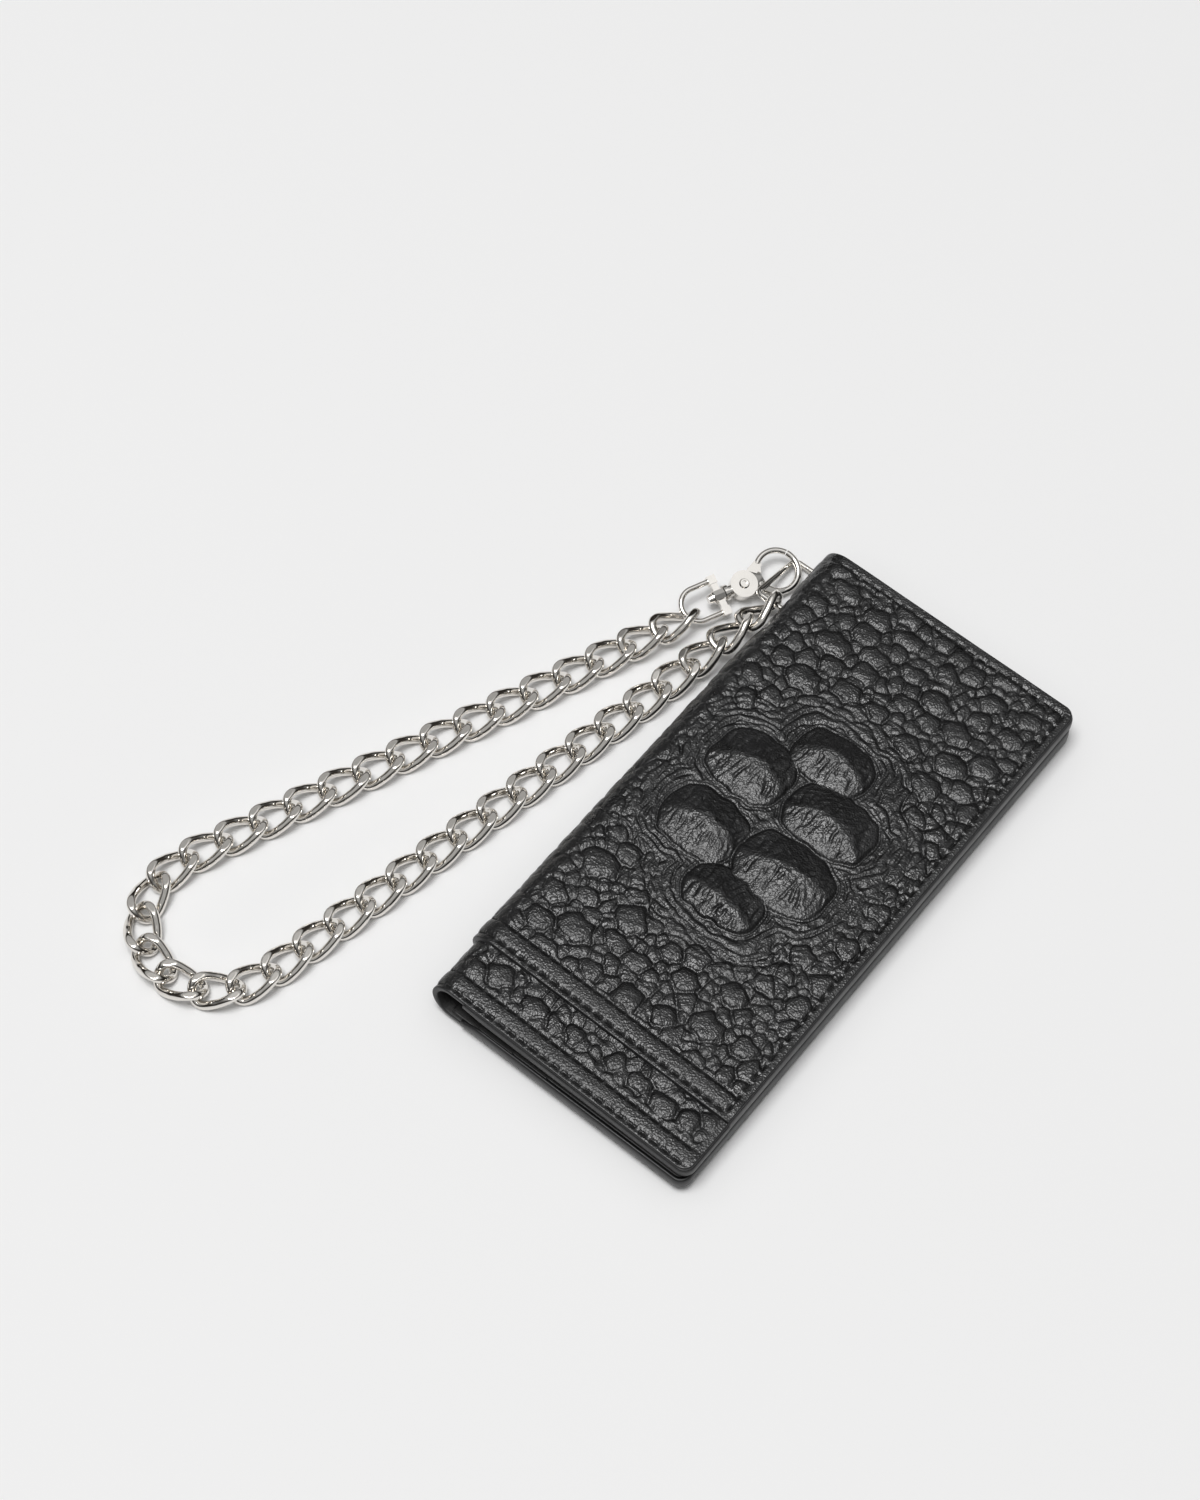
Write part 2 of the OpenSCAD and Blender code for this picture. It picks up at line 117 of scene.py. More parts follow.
def around(s, y, off):
    """Point and outward normal of the wrapped leather, off above the outer panel's outside.

    s runs from the fold over the front half. Below 0 it goes round the fold and over the back half.
    """
    s, y, off = np.broadcast_arrays(np.asarray(s, float), y, off)
    beta = np.clip(-s / FOLD_R, 0, math.pi + LEAN)
    run = np.where(s > 0, s, np.where(s < -ARC, s + ARC, 0))
    nx, nz = np.sin(LEAN - beta), np.cos(LEAN - beta)
    x = FOLD_X + nx * (FOLD_R + off) + nz * run
    z = FOLD_R + nz * (FOLD_R + off) - nx * run
    return np.stack([x, y, z], -1), np.stack([nx, 0 * nx, nz], -1)


def on_back(s):
    """Wrapped coordinate of a place s from the fold on the back half."""
    return -ARC - s


def on_half(s, body):
    return on_back(s) if body == "back" else s


# ---- crocodile relief, as heights on an even grid of the unrolled leather ----------------------

CELL = 0.25
GRID_S = np.arange(-ARC - SPAN - 1, SPAN + 1, CELL)
GRID_Y = np.arange(NEAR_Y - 1, FAR_Y + 1, CELL)
SOFTEN = np.array([0.12, 0.76, 0.12])

# Bosses of the group: centre, half length and half width, then the crest's place, slant and bow
BOSSES = [
    (22.4, 19.5, 13.8, 11.7, 0.09, 0.12, 0.39), (40.9, 36.2, 13.6, 9.5, 0.22, 0.09, 0.60),
    (22.7, -5.7, 13.9, 11.3, 0.13, 0.12, 0.35), (52.7, 18.8, 15.6, 10.8, 0.05, -0.05, 0.56),
    (43.1, -21.5, 13.4, 9.0, -0.16, -0.12, 0.11), (52.5, -4.1, 16.4, 11.8, 0.18, 0.20, 0.22),
]
BOSS_H, BOSS_POWER = 3.0, 2.9            # height, and squareness of the outline
CREST_REACH, CREST_SOFT = 0.62, 0.012    # how near the rim a crest may come, and its rounding
GROOVES, GROOVE_END = 17, 0.88           # grooves on each face, and the place of the outermost
RIM, RIM_H = 0.9, 0.30                   # width and height of the narrow welt round each boss
MOAT, MOAT_W = 0.50, 0.38                # groove between a boss and its welt
DITCH, DITCH_W = 0.40, 0.34              # broken groove outside the welt

FOLD_STEP, FOLD_LINE = 1.9, 0.26         # spacing of the folds round the group, and their lines
FOLD_H, FOLD_CUT, FOLD_LOW = 0.34, 0.30, 0.15
FOLD_ZONE, FOLD_FADE = 8.0, 5.5          # how far the folds go out from the bosses

# Centre, half length and half width of the scales that stand out
SCALES = [
    (15.4, -57.4, 6.0, 4.3), (26.5, -44.7, 6.0, 4.4), (51.3, -50.1, 4.2, 3.6),
    (65.0, -44.6, 4.6, 3.8), (41.1, -65.6, 4.8, 4.4), (65.1, -57.7, 5.8, 4.6),
    (42.0, -45.1, 3.8, 3.2), (52.8, -63.4, 4.2, 3.4), (77.8, -55.9, 4.2, 3.6),
    (78.3, -66.5, 3.6, 3.2), (68.6, -68.0, 3.6, 2.6), (5.0, -61.7, 4.8, 3.8),
    (7.2, -36.1, 6.2, 4.6), (15.4, 54.9, 6.2, 3.8), (1.8, 46.0, 4.6, 3.0),
    (29.0, 59.7, 4.8, 3.4), (14.5, 70.8, 6.4, 4.0), (27.9, 75.2, 5.0, 3.0),
    (40.2, 59.7, 4.2, 2.8), (81.0, -10.9, 4.6, 3.4), (73.0, -21.5, 5.2, 3.2),
    (69.1, -35.4, 4.2, 3.0), (33.1, 86.7, 5.2, 2.8), (41.0, 78.1, 4.4, 2.6),
    (49.8, 84.5, 4.4, 3.2), (20.4, 87.0, 4.8, 3.2), (7.3, 89.0, 5.6, 3.2),
    (2.3, 79.6, 4.6, 3.0), (54.5, 56.0, 5.8, 3.6), (64.3, 69.2, 5.4, 3.4),
    (68.8, 58.8, 5.4, 3.6), (77.3, 64.9, 5.2, 4.0), (67.2, 47.9, 5.6, 4.0),
    (52.8, 74.0, 4.8, 3.4), (-3.5, 58.8, 4.2, 2.6), (-9.0, 45.0, 4.6, 3.2),
    (7.4, -83.1, 4.6, 3.4), (21.9, -84.8, 4.6, 3.2), (51.5, -82.7, 3.4, 3.0),
    (60.6, -83.3, 3.6, 3.0), (70.2, -84.5, 4.0, 3.0), (78.9, -83.8, 3.6, 3.4),
    (36.7, -83.9, 3.2, 2.6),
]
LARGE_H, MIDDLING_H, SMALL_H = 0.13, 0.10, 0.06    # heights of scales against their half widths
MIDDLING_TRIES, SMALL_TRIES = 5200, 16000
MIDDLING_FROM, SMALL_FROM = 9, 2                   # least distances from the bosses
DRAWN_OUT = 14                                     # how far the bosses draw out small scales
CREASE, CREASE_W = 0.52, 0.32                      # line between two scales
HALO, HALO_W, HALO_AT = 0.22, 0.3, 0.9             # second line round a large scale
KEEL_FROM = 30                                     # scales beyond this y have a marked keel
FAR_OFF = 9.0


def wave(s, y, seed, size):
    """Smooth noise between about -1 and 1 from a few sines."""
    rng = np.random.default_rng(seed)
    out = 0
    for _ in range(7):
        way, often, start = rng.uniform(0, TURN), rng.uniform(0.6, 1.6) / size, rng.uniform(0, TURN)
        out = out + np.sin(TURN * often * (s * math.cos(way) + y * math.sin(way)) + start)
    return out / 3.5


def boss_radius(s, y, k):
    cs, cy, a, b = BOSSES[k][:4]
    p, q = (s - cs) / a, (y - cy) / b
    return (np.abs(p) ** BOSS_POWER + np.abs(q) ** BOSS_POWER) ** (1 / BOSS_POWER), p, q


def from_bosses(s, y):
    """Rough distance outside the group of bosses."""
    return np.min([(boss_radius(s, y, k)[0] - 1) * boss[3] for k, boss in enumerate(BOSSES)], 0)


def boss_height(s, y, k):
    """Two sloping faces that meet in a bowed crest, combed by grooves that run down from it."""
    half_l, half_w, crest, slant, bow = BOSSES[k][2:]
    r, p, q = boss_radius(s, y, k)
    rim = np.clip(1 - np.abs(p) ** BOSS_POWER, 0, 1) ** (1 / BOSS_POWER)
    top = np.clip(crest + slant * p - bow * p * p, -CREST_REACH * rim, CREST_REACH * rim)
    far = q > top
    room = np.maximum(rim + np.where(far, -top, top), 0.05)
    fall = np.clip(np.abs(q - top) / room, 0, 1)
    soft = np.sqrt(fall * fall + CREST_SOFT) - math.sqrt(CREST_SOFT)
    h = BOSS_H * np.clip(1 - soft ** 1.1, 0, 1) * np.clip(1 - p * p, 0, 1) ** 0.8
    combed = smooth((room * half_w - 2.5) / 5)
    rng = np.random.default_rng(60 + k)
    run = p * half_l
    for side in (False, True):
        for at in np.linspace(-GROOVE_END, GROOVE_END, GROOVES):
            begin = (at + rng.normal(0, 0.03)) * half_l
            first, last = rng.uniform(0.03, 0.2), rng.uniform(0.42, 0.95)
            deep, wide = rng.uniform(0.18, 0.50), rng.uniform(0.30, 0.46)
            lean = rng.normal(0, 1.3)
            middle = begin * (1 + 0.22 * fall) + lean * fall + 0.3 * np.sin(9 * fall + 7 * at)
            window = combed * smooth((fall - first) / 0.10) * smooth((last - fall) / 0.25)
            h = h - deep * (window * (far == side)) * bell(run - middle, wide)
    return h + 0.06 * wave(s, y, 40 + k, 2.2) * smooth((1 - r) / 0.2)


def is_clear(s, y, gap, seeds):
    """Whether a place is at least a gap outside every scale so far."""
    for cs, cy, a, b, *_ in seeds:
        p, q = (s - cs) / (a + gap), (y - cy) / (b + gap)
        if p * p + q * q < 1:
            return False
    return True


def scale_seeds():
    """Scales as centre, half length, half width, turn and height, and how many are not small."""
    rng = np.random.default_rng(11)
    seeds = [(s, y, a, b, rng.normal(0, 0.12), LARGE_H * b) for s, y, a, b in SCALES]
    for _ in range(MIDDLING_TRIES):
        s, y = rng.uniform(-ARC - SPAN, SPAN), rng.uniform(NEAR_Y, FAR_Y)
        if from_bosses(s, y) < MIDDLING_FROM:
            continue
        b = rng.uniform(2.2, 3.8)
        a = b * rng.uniform(1.15, 1.5)
        if is_clear(s, y, 0.75 * b + 1.1, seeds):
            seeds.append((s, y, a, b, rng.normal(0, 0.2), MIDDLING_H * b))
    big = len(seeds)
    # Small scales between them, drawn out along the rings of folds round the bosses
    tries = np.array([(rng.uniform(-ARC - SPAN, SPAN), rng.uniform(NEAR_Y, FAR_Y),
                       rng.uniform(0, 1), rng.uniform(0, 1)) for _ in range(SMALL_TRIES)])
    s, y, e = tries[:, 0], tries[:, 1], 0.5
    rise_s = from_bosses(s + e, y) - from_bosses(s - e, y)
    rise_y = from_bosses(s, y + e) - from_bosses(s, y - e)
    turns = np.arctan2(rise_y, rise_s) + math.pi / 2
    bigs, small = np.array([seed[:4] for seed in seeds]), np.zeros((0, 5))
    for (s, y, size, shape), out, turn in zip(tries, from_bosses(s, y), turns):
        if out < SMALL_FROM:
            continue
        near = smooth(1 - (out - SMALL_FROM) / DRAWN_OUT)
        b = 1.15 + 1.1 * size - 0.35 * near
        a = b * (1.2 + 2.8 * near * (0.5 + shape))
        p, q = (s - bigs[:, 0]) / (bigs[:, 2] + 0.7), (y - bigs[:, 1]) / (bigs[:, 3] + 0.7)
        if np.any(p * p + q * q < 1):
            continue
        ds, dy = s - small[:, 0], y - small[:, 1]
        c, w = np.cos(small[:, 4]), np.sin(small[:, 4])
        p = (ds * c + dy * w) / (small[:, 2] + 0.75 * a)
        q = (dy * c - ds * w) / (small[:, 3] + 0.75 * b)
        if np.any(p * p + q * q < 1):
            continue
        small = np.vstack([small, [s, y, a, b, turn if near > 0.15 else shape * math.pi]])
    seeds += [(s, y, a, b, turn, SMALL_H * b) for s, y, a, b, turn in small]
    return seeds, big


def grid_window(s, y, reach_s, reach_y):
    """The block of the grid round a place."""
    return (slice(*np.searchsorted(GRID_S, [s - reach_s, s + reach_s])),
            slice(*np.searchsorted(GRID_Y, [y - reach_y, y + reach_y])))


def scales(s, y):
    """Domed scales with creases between them, and a second line round those that are not small."""
    first, second, ring = (np.full(s.shape, FAR_OFF) for _ in range(3))
    dome = np.zeros(s.shape)
    seeds, big = scale_seeds()
    for n, (cs, cy, a, b, turn, high) in enumerate(seeds):
        win = grid_window(cs, cy, a + 3.2, a + 3.2)
        ds, dy = s[win] - cs, y[win] - cy
        p = ds * math.cos(turn) + dy * math.sin(turn)
        q = dy * math.cos(turn) - ds * math.sin(turn)
        r = np.sqrt((p / a) ** 2 + (q / b) ** 2)
        dist = (r - 1) * b
        top = high * np.clip(1 - r ** 4, -0.4, 1)
        if n < big:
            keel = bell(q, 0.22 * b) * np.clip(1 - (p / a) ** 2, 0, 1)
            top = top + 0.14 * high * keel * (1 if cy > KEEL_FROM else 0.25)
            ring[win] = np.minimum(ring[win], np.maximum(dist, 0))
        closer = dist < first[win]
        second[win] = np.where(closer, first[win], np.minimum(second[win], dist))
        first[win] = np.where(closer, dist, first[win])
        dome[win] = np.where(closer, top, dome[win])
    border = np.clip(second - first, 0, None)
    crease = -CREASE * np.exp(-(border / CREASE_W) ** 1.2)
    return dome + crease - HALO * bell(ring - HALO_AT, HALO_W)


def relief():
    """Height of the embossed skin over the unrolled leather."""
    s, y = np.meshgrid(GRID_S, GRID_Y, indexing="ij")
    s = s + 0.45 * wave(s, y, 3, 9)
    y = y + 0.45 * wave(s, y, 4, 9)
    out = from_bosses(s, y)
    # Long folds that run round the group, broken here and there
    turn = out / FOLD_STEP + 0.35 * wave(s, y, 9, 14) + 0.10 * wave(s, y, 13, 4)
    side = np.abs(turn - np.round(turn))
    broken, line = smooth((wave(s, y, 10, 7) + 0.5) / 0.5), bell(side * FOLD_STEP, FOLD_LINE)
    folds = FOLD_H * np.clip(2 * side, 0, 1) ** 0.6 - FOLD_CUT * broken * line - FOLD_LOW
    zone = smooth((FOLD_ZONE - out) / FOLD_FADE)
    outer = scales(s, y) - 0.22 * broken * line * smooth((16 - out) / 6)
    h = outer * (1 - zone) + folds * zone
    h = h + 0.06 * wave(s, y, 5, 3.0) + 0.015 * wave(s, y, 6, 1.4)
    welt = RIM_H * np.clip(1 - ((out - RIM / 2) / (RIM / 2)) ** 2, 0, 1)
    h = np.where(out < RIM, welt, h)
    for k, (cs, cy, a, b, *_) in enumerate(BOSSES):
        win = grid_window(cs, cy, a + 1, b + 1)
        mine = (boss_radius(s[win], y[win], k)[0] - 1) * b <= out[win] + 1e-9
        h[win] = np.where(mine & (out[win] < 0), boss_height(s[win], y[win], k), h[win])
    h = h - MOAT * bell(out, MOAT_W)
    h = h - DITCH * bell(out - RIM, DITCH_W) * smooth((wave(s, y, 12, 6) + 0.75) / 0.6)
    for axis in (0, 1):
        h = np.apply_along_axis(soften, axis, h)
    return h


def soften(row):
    return np.convolve(np.pad(row, 1, mode="edge"), SOFTEN, "valid")


SKIN = relief()


def skin_at(s, y):
    """The relief at any place, by bilinear interpolation."""
    a = np.clip((s - GRID_S[0]) / CELL, 0, len(GRID_S) - 1.001)
    b = np.clip((y - GRID_Y[0]) / CELL, 0, len(GRID_Y) - 1.001)
    i, j = a.astype(int), b.astype(int)
    fa, fb = a - i, b - j
    return (SKIN[i, j] * (1 - fa) * (1 - fb) + SKIN[i + 1, j] * fa * (1 - fb)
            + SKIN[i, j + 1] * (1 - fa) * fb + SKIN[i + 1, j + 1] * fa * fb)


# ---- stitch rows and smooth bands --------------------------------------------------------------

STITCH = 4.1                                 # pitch, rounded so that a row takes whole stitches
NEAR_ROWS, MOUTH_ROWS = (2.3, 7.8), (2.2, 8.0)
SIDE_ROW, ROW_END, ROW_W = 3.4, 3.6, 0.55
ROW_START = SPAN - ROW_END
CROSS_ROW = 2 * ROW_START + ARC
SIDE_FROM = MOUTH_Y + MOUTH_ROWS[0]
LONG_ROW = FAR_Y - SIDE_ROW - SIDE_FROM
LIP_R = 0.5                                  # rounding of the mouth's edge
BAND_SWELL = 0.28
DENT, DENT_Y, DENT_L, DENT_W = 0.75, 70.5, 10.5, 8     # where the last link lies on the fold


def row_pitch(length):
    return length / round(length / STITCH)


def near_edge(s):
    """Near end of the leather: the back half reaches further than the front half."""
    return FRONT_NEAR_Y - NEAR_STEP * smooth(-s / ARC)


def surface(s, y):
    """Height of the finished leather against the outside of the outer panel."""
    s, y = np.broadcast_arrays(np.asarray(s, float), np.asarray(y, float))
    edge = np.minimum(SPAN - s, s + ARC + SPAN)
    d_near, d_far, d_mouth = y - near_edge(s), FAR_Y - y, y - MOUTH_Y
    above = d_mouth > -0.02
    lip = np.clip(1 - d_mouth / LIP_R, 0, 1)
    base = np.where(above, -LIP_R * (1 - np.sqrt(np.clip(1 - lip * lip, 0, 1))), -PANEL_T)
    # Croc skin fades out on the bands and along the borders, and is shallow and low underneath
    fade = smooth((d_far - 2.6) / 1.6) * smooth((edge - 2.4) / 1.8)
    fade = fade * np.where(above, smooth((d_mouth - 8.6) / 1.2),
                           smooth((d_near - 9.0) / 1.2) * smooth((-d_mouth + 1.2) / 1.2))
    under = smooth((-ARC - s + 3) / 6)
    skin = skin_at(s, y)
    skin = skin * (1 - under) + np.clip(0.45 * skin - 0.55, -1.0, -0.02) * under
    skin = skin * (1 - 0.55 * smooth((2 - s) / 9) * (1 - under))
    h = base + skin * fade
    # Bands swell between their rows
    for dist, rows in ((d_near, NEAR_ROWS), (d_mouth, MOUTH_ROWS)):
        k = (dist - rows[0]) / (rows[1] - rows[0])
        swell = np.clip(4 * k * (1 - k), 0, 1) ** 0.7
        h = h + BAND_SWELL * (1 - under) * swell * ((k > 0) & (k < 1))
    # Rows are pulled in, least at the bridges between two stitches
    cross = [d_near - r for r in NEAR_ROWS] + [d_mouth - r for r in MOUTH_ROWS] + [d_far - SIDE_ROW]
    rows = [(across, ROW_START - s, CROSS_ROW) for across in cross]
    rows.append((edge - SIDE_ROW, y - SIDE_FROM, LONG_ROW))
    for across, along, length in rows:
        inside = smooth((along + 0.6) / 0.6) * smooth((length + 0.6 - along) / 0.6)
        step = row_pitch(length)
        bridge = along - np.round(along / step) * step
        slot = 0.2 + 0.8 * smooth((np.abs(bridge) - 0.4) / 0.35)
        h = h - inside * (0.48 + 0.04 * under) * slot * bell(across, ROW_W)
    h = h - DENT * np.exp(-((y - DENT_Y) / DENT_L) ** 4 - ((s + ARC / 2) / DENT_W) ** 4)
    return h + 0.05 * wave(s, y, 8, 22)


# ---- mesh helpers ------------------------------------------------------------------------------

# Angle of each ring of a rounded edge in degrees, and whether it belongs to the inner face
EDGE_RINGS = ((35, False), (65, False), (90, False), (90, True), (45, True))


def new_mesh(name, verts, faces, materials, index=None, uv=None, body=None):
    mesh = bpy.data.meshes.new(name)
    mesh.from_pydata((np.asarray(verts) * MM).tolist(), [], [tuple(map(int, f)) for f in faces])
    for m in materials:
        mesh.materials.append(m)
    if index is not None:
        mesh.polygons.foreach_set("material_index", np.asarray(index, np.int32))
    mesh.polygons.foreach_set("use_smooth", np.ones(len(mesh.polygons), bool))
    if uv is not None:
        layer = mesh.uv_layers.new(name="UVMap")
        loops = np.zeros(len(mesh.loops), np.int32)
        mesh.loops.foreach_get("vertex_index", loops)
        layer.data.foreach_set("uv", (np.asarray(uv)[loops] * MM).astype(np.float32).ravel())
    mesh.validate()
    mesh.update()
    obj = new_object(name, mesh)
    if body:
        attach(obj, body)
    return obj


def new_object(name, data):
    obj = bpy.data.objects.new(name, data)
    bpy.context.scene.collection.objects.link(obj)
    return obj


def unit(v):
    return v / np.maximum(np.linalg.norm(v, axis=-1, keepdims=True), 1e-9)


def signed_power(x, power):
    return np.sign(x) * np.abs(x) ** power


def tube_faces(rings, sides):
    """Faces of a tube of rings that all have the same count of sides."""
    return [(i * sides + j, i * sides + (j + 1) % sides,
             (i + 1) * sides + (j + 1) % sides, (i + 1) * sides + j)
            for i in range(rings - 1) for j in range(sides)]


def cap_faces(rings, sides):
    """The two faces that close such a tube."""
    return [tuple(range(sides))[::-1], tuple(range((rings - 1) * sides, rings * sides))]


def loop_of(u0, u1, v0, v1):
    """Places round a block of the grid, in one turn."""
    return ([(u, v0) for u in range(u0, u1)] + [(u1, v) for v in range(v0, v1)]
            + [(u, v1) for u in range(u1, u0, -1)] + [(u0, v) for v in range(v1, v0, -1)])


def shell(outer, normal, inner, uv, hole=None, cut=(), step=8, radius=EDGE_R):
    """Closed sheet: a fine outer grid, rounded edges and a coarse inner grid.

    A hole is a block of the grid that is left out, and cut lists the rows of the outer grid that
    count as edge. Returns vertices, faces, parts (0 outer, 1 edge, 2 inner) and uv.
    """
    nu, nv = outer.shape[0] - 1, outer.shape[1] - 1
    fine = np.arange((nu + 1) * (nv + 1)).reshape(nu + 1, nv + 1)
    few = inner[::step, ::step]
    coarse = fine.size + np.arange(few.shape[0] * few.shape[1]).reshape(few.shape[:2])
    count = fine.size + coarse.size
    verts = [outer.reshape(-1, 3), few.reshape(-1, 3)]
    coords = [uv.reshape(-1, 2), uv[::step, ::step].reshape(-1, 2)]
    keep, rough = np.ones((nu, nv), bool), np.ones((nu // step, nv // step), bool)
    loops = [loop_of(0, nu, 0, nv)]
    if hole:
        u0, u1, v0, v1 = hole
        keep[u0:u1, v0:v1] = False
        rough[u0 // step:u1 // step, v0 // step:v1 // step] = False
        turned = loop_of(*hole)[::-1]
        loops.append(turned[-1:] + turned[:-1])
    u, v = np.nonzero(keep)
    faces = [np.stack([fine[u, v], fine[u + 1, v], fine[u + 1, v + 1], fine[u, v + 1]], 1)]
    parts = [np.isin(v, list(cut)).astype(int)]
    u, v = np.nonzero(rough)
    faces.append(np.stack([coarse[u, v], coarse[u, v + 1],
                           coarse[u + 1, v + 1], coarse[u + 1, v]], 1))
    parts.append(np.full(len(u), 2))
    for loop in loops:
        i, j = np.array(loop).T
        top, bottom, n = outer[i, j], inner[i, j], normal[i, j]
        side = unit(np.cross(np.roll(bottom, -1, 0) - np.roll(bottom, 1, 0), n))
        outward = np.sum(side * (bottom - bottom.mean(0))) > 0
        if outward != (loop is loops[0]):
            side = -side
        before, size = fine[i, j], len(loop)
        for angle, low in EDGE_RINGS:
            a = math.radians(angle)
            ring = (bottom if low else top) + side * radius * math.sin(a)
            verts.append(ring + n * radius * (1 - math.cos(a)) * (1 if low else -1))
            coords.append(uv[i, j])
            now = count + np.arange(size)
            count += size
            faces.append(np.stack([np.roll(before, -1), before, now, np.roll(now, -1)], 1))
            parts.append(np.ones(size, int))
            before = now
        # Fans join the last fine ring to the coarse grid
        corners, half = coarse[i[::step] // step, j[::step] // step], step // 2
        for k in range(size // step):
            a, b = corners[k], corners[(k + 1) % len(corners)]
            f = [before[(k * step + m) % size] for m in range(step + 1)]
            fan = [(f[m + 1], f[m], a) for m in range(half)] + [(b, f[half], a)]
            fan += [(f[m + 1], f[m], b) for m in range(half, step)]
            faces.append(np.array(fan))
            parts.append(np.ones(len(fan), int))
    return (np.concatenate(verts), [f for group in faces for f in group.tolist()],
            np.concatenate(parts), np.concatenate(coords))


def round_corner(p, q, p0, q0, r):
    """Bends the square corner past (p0, q0) into a quarter circle."""
    a, b = np.clip((p - p0) / r, 0, 1), np.clip((q - q0) / r, 0, 1)
    inside = (a > 0) & (b > 0)
    return (np.where(inside, p0 + r * a * np.sqrt(1 - b * b / 2), p),
            np.where(inside, q0 + r * b * np.sqrt(1 - a * a / 2), q))


# ---- materials ---------------------------------------------------------------------------------

WEAR = 0.25            # how far the leather's tone goes up and down


def material(name, color, rough, metallic=0.0, specular=0.5):
    m = bpy.data.materials.new(name)
    m.use_nodes = True
    shader = m.node_tree.nodes["Principled BSDF"]
    shader.inputs["Base Color"].default_value = (*color, 1)
    shader.inputs["Roughness"].default_value = rough
    shader.inputs["Metallic"].default_value = metallic
    shader.inputs["Specular IOR Level"].default_value = specular
    return m, m.node_tree, shader


def add(tree, kind, **values):
    node = tree.nodes.new(kind)
    for key, value in values.items():
        if key in node.inputs:
            node.inputs[key].default_value = value
        else:
            setattr(node, key, value)
    return node


def map_range(tree, source, span, to, **values):
    """Output of a node that maps the span of a source to another."""
    node = add(tree, "ShaderNodeMapRange", **values,
               **{"From Min": span[0], "From Max": span[1], "To Min": to[0], "To Max": to[1]})
    tree.links.new(source, node.inputs["Value"])
    return node.outputs["Result"]


def two_tone(tree, source, span, dark, light):
    """Colour that goes from dark to light over the span of a source."""
    ramp = add(tree, "ShaderNodeValToRGB")
    for stop, at, color in zip(ramp.color_ramp.elements, span, (dark, light)):
        stop.position, stop.color = at, (*color, 1)
    tree.links.new(source, ramp.inputs["Fac"])
    return ramp.outputs["Color"]


def multiply_add(tree, source, factor, plus):
    node = add(tree, "ShaderNodeMath", operation="MULTIPLY_ADD")
    node.inputs[1].default_value = factor
    tree.links.new(source, node.inputs[0])
    tree.links.new(plus, node.inputs[2])
    return node.outputs[0]


def add_bump(tree, shader, height, strength, distance):
    bump = add(tree, "ShaderNodeBump", Strength=strength, Distance=distance)
    tree.links.new(height, bump.inputs["Height"])
    tree.links.new(bump.outputs["Normal"], shader.inputs["Normal"])


def leather(name, color, rough, grain, depth, coords="UV", specular=0.5):
    """Leather with pebbled grain, fine wrinkles and uneven shine.

    grain is the size of a pebble and depth that of the grain, both in millimetres.
    """
    m, tree, shader = material(name, color, rough, specular=specular)
    link = tree.links.new
    place = add(tree, "ShaderNodeTexCoord").outputs[coords]
    scale = 1000.0 / grain
    pebble = add(tree, "ShaderNodeTexVoronoi", feature="SMOOTH_F1", Scale=scale,
                 Smoothness=0.45, Randomness=1.0)
    pores = add(tree, "ShaderNodeTexNoise", Scale=scale * 1.9, Detail=3.0, Roughness=0.6)
    lines = add(tree, "ShaderNodeTexVoronoi", feature="DISTANCE_TO_EDGE", Scale=scale * 0.36,
                Randomness=1.0)
    patch = add(tree, "ShaderNodeTexNoise", Scale=90.0, Detail=4.0, Roughness=0.6)
    warp = add(tree, "ShaderNodeTexNoise", Scale=scale * 0.25, Detail=2.0)
    bent = add(tree, "ShaderNodeVectorMath", operation="MULTIPLY_ADD")
    bent.inputs[1].default_value = (0.0005, 0.0005, 0.0005)
    link(place, warp.inputs["Vector"])
    link(warp.outputs["Color"], bent.inputs[0])
    link(place, bent.inputs[2])
    for node in (pebble, pores, lines):
        link(bent.outputs[0], node.inputs["Vector"])
    link(place, patch.inputs["Vector"])
    wrinkle = map_range(tree, lines.outputs["Distance"], (0.0, 0.22), (-0.35, 0.0),
                        interpolation_type="SMOOTHSTEP")
    squared = add(tree, "ShaderNodeMath", operation="MULTIPLY")
    for socket in squared.inputs[:2]:
        link(pebble.outputs["Distance"], socket)
    pebbled = multiply_add(tree, squared.outputs[0], -1.6, wrinkle)
    height = multiply_add(tree, pores.outputs["Fac"], 0.35, pebbled)
    add_bump(tree, shader, height, 1.0, depth * MM)
    uneven = patch.outputs["Fac"]
    shine = map_range(tree, uneven, (0.3, 0.7), (rough - 0.07, rough + 0.09))
    link(shine, shader.inputs["Roughness"])
    tone = two_tone(tree, uneven, (0.3, 0.72),
                    [c * (1 - WEAR) for c in color], [c * (1 + WEAR) for c in color])
    link(tone, shader.inputs["Base Color"])
    return m


def metal(name, color, rough):
    """Plated metal with faint polishing marks and uneven gloss."""
    m, tree, shader = material(name, color, rough, metallic=1.0)
    link = tree.links.new
    place = add(tree, "ShaderNodeTexCoord").outputs["Object"]
    cloud = add(tree, "ShaderNodeTexNoise", Scale=260.0, Detail=3.0, Roughness=0.55)
    fine = add(tree, "ShaderNodeTexNoise", Scale=2400.0, Detail=2.0)
    for node in (cloud, fine):
        link(place, node.inputs["Vector"])
    uneven = cloud.outputs["Fac"]
    gloss = map_range(tree, uneven, (0.3, 0.7), (rough * 0.6, rough * 1.5))
    link(gloss, shader.inputs["Roughness"])
    tone = two_tone(tree, uneven, (0.3, 0.7), [c * 0.93 for c in color], color)
    link(tone, shader.inputs["Base Color"])
    add_bump(tree, shader, fine.outputs["Fac"], 0.12, 0.00002)
    return m


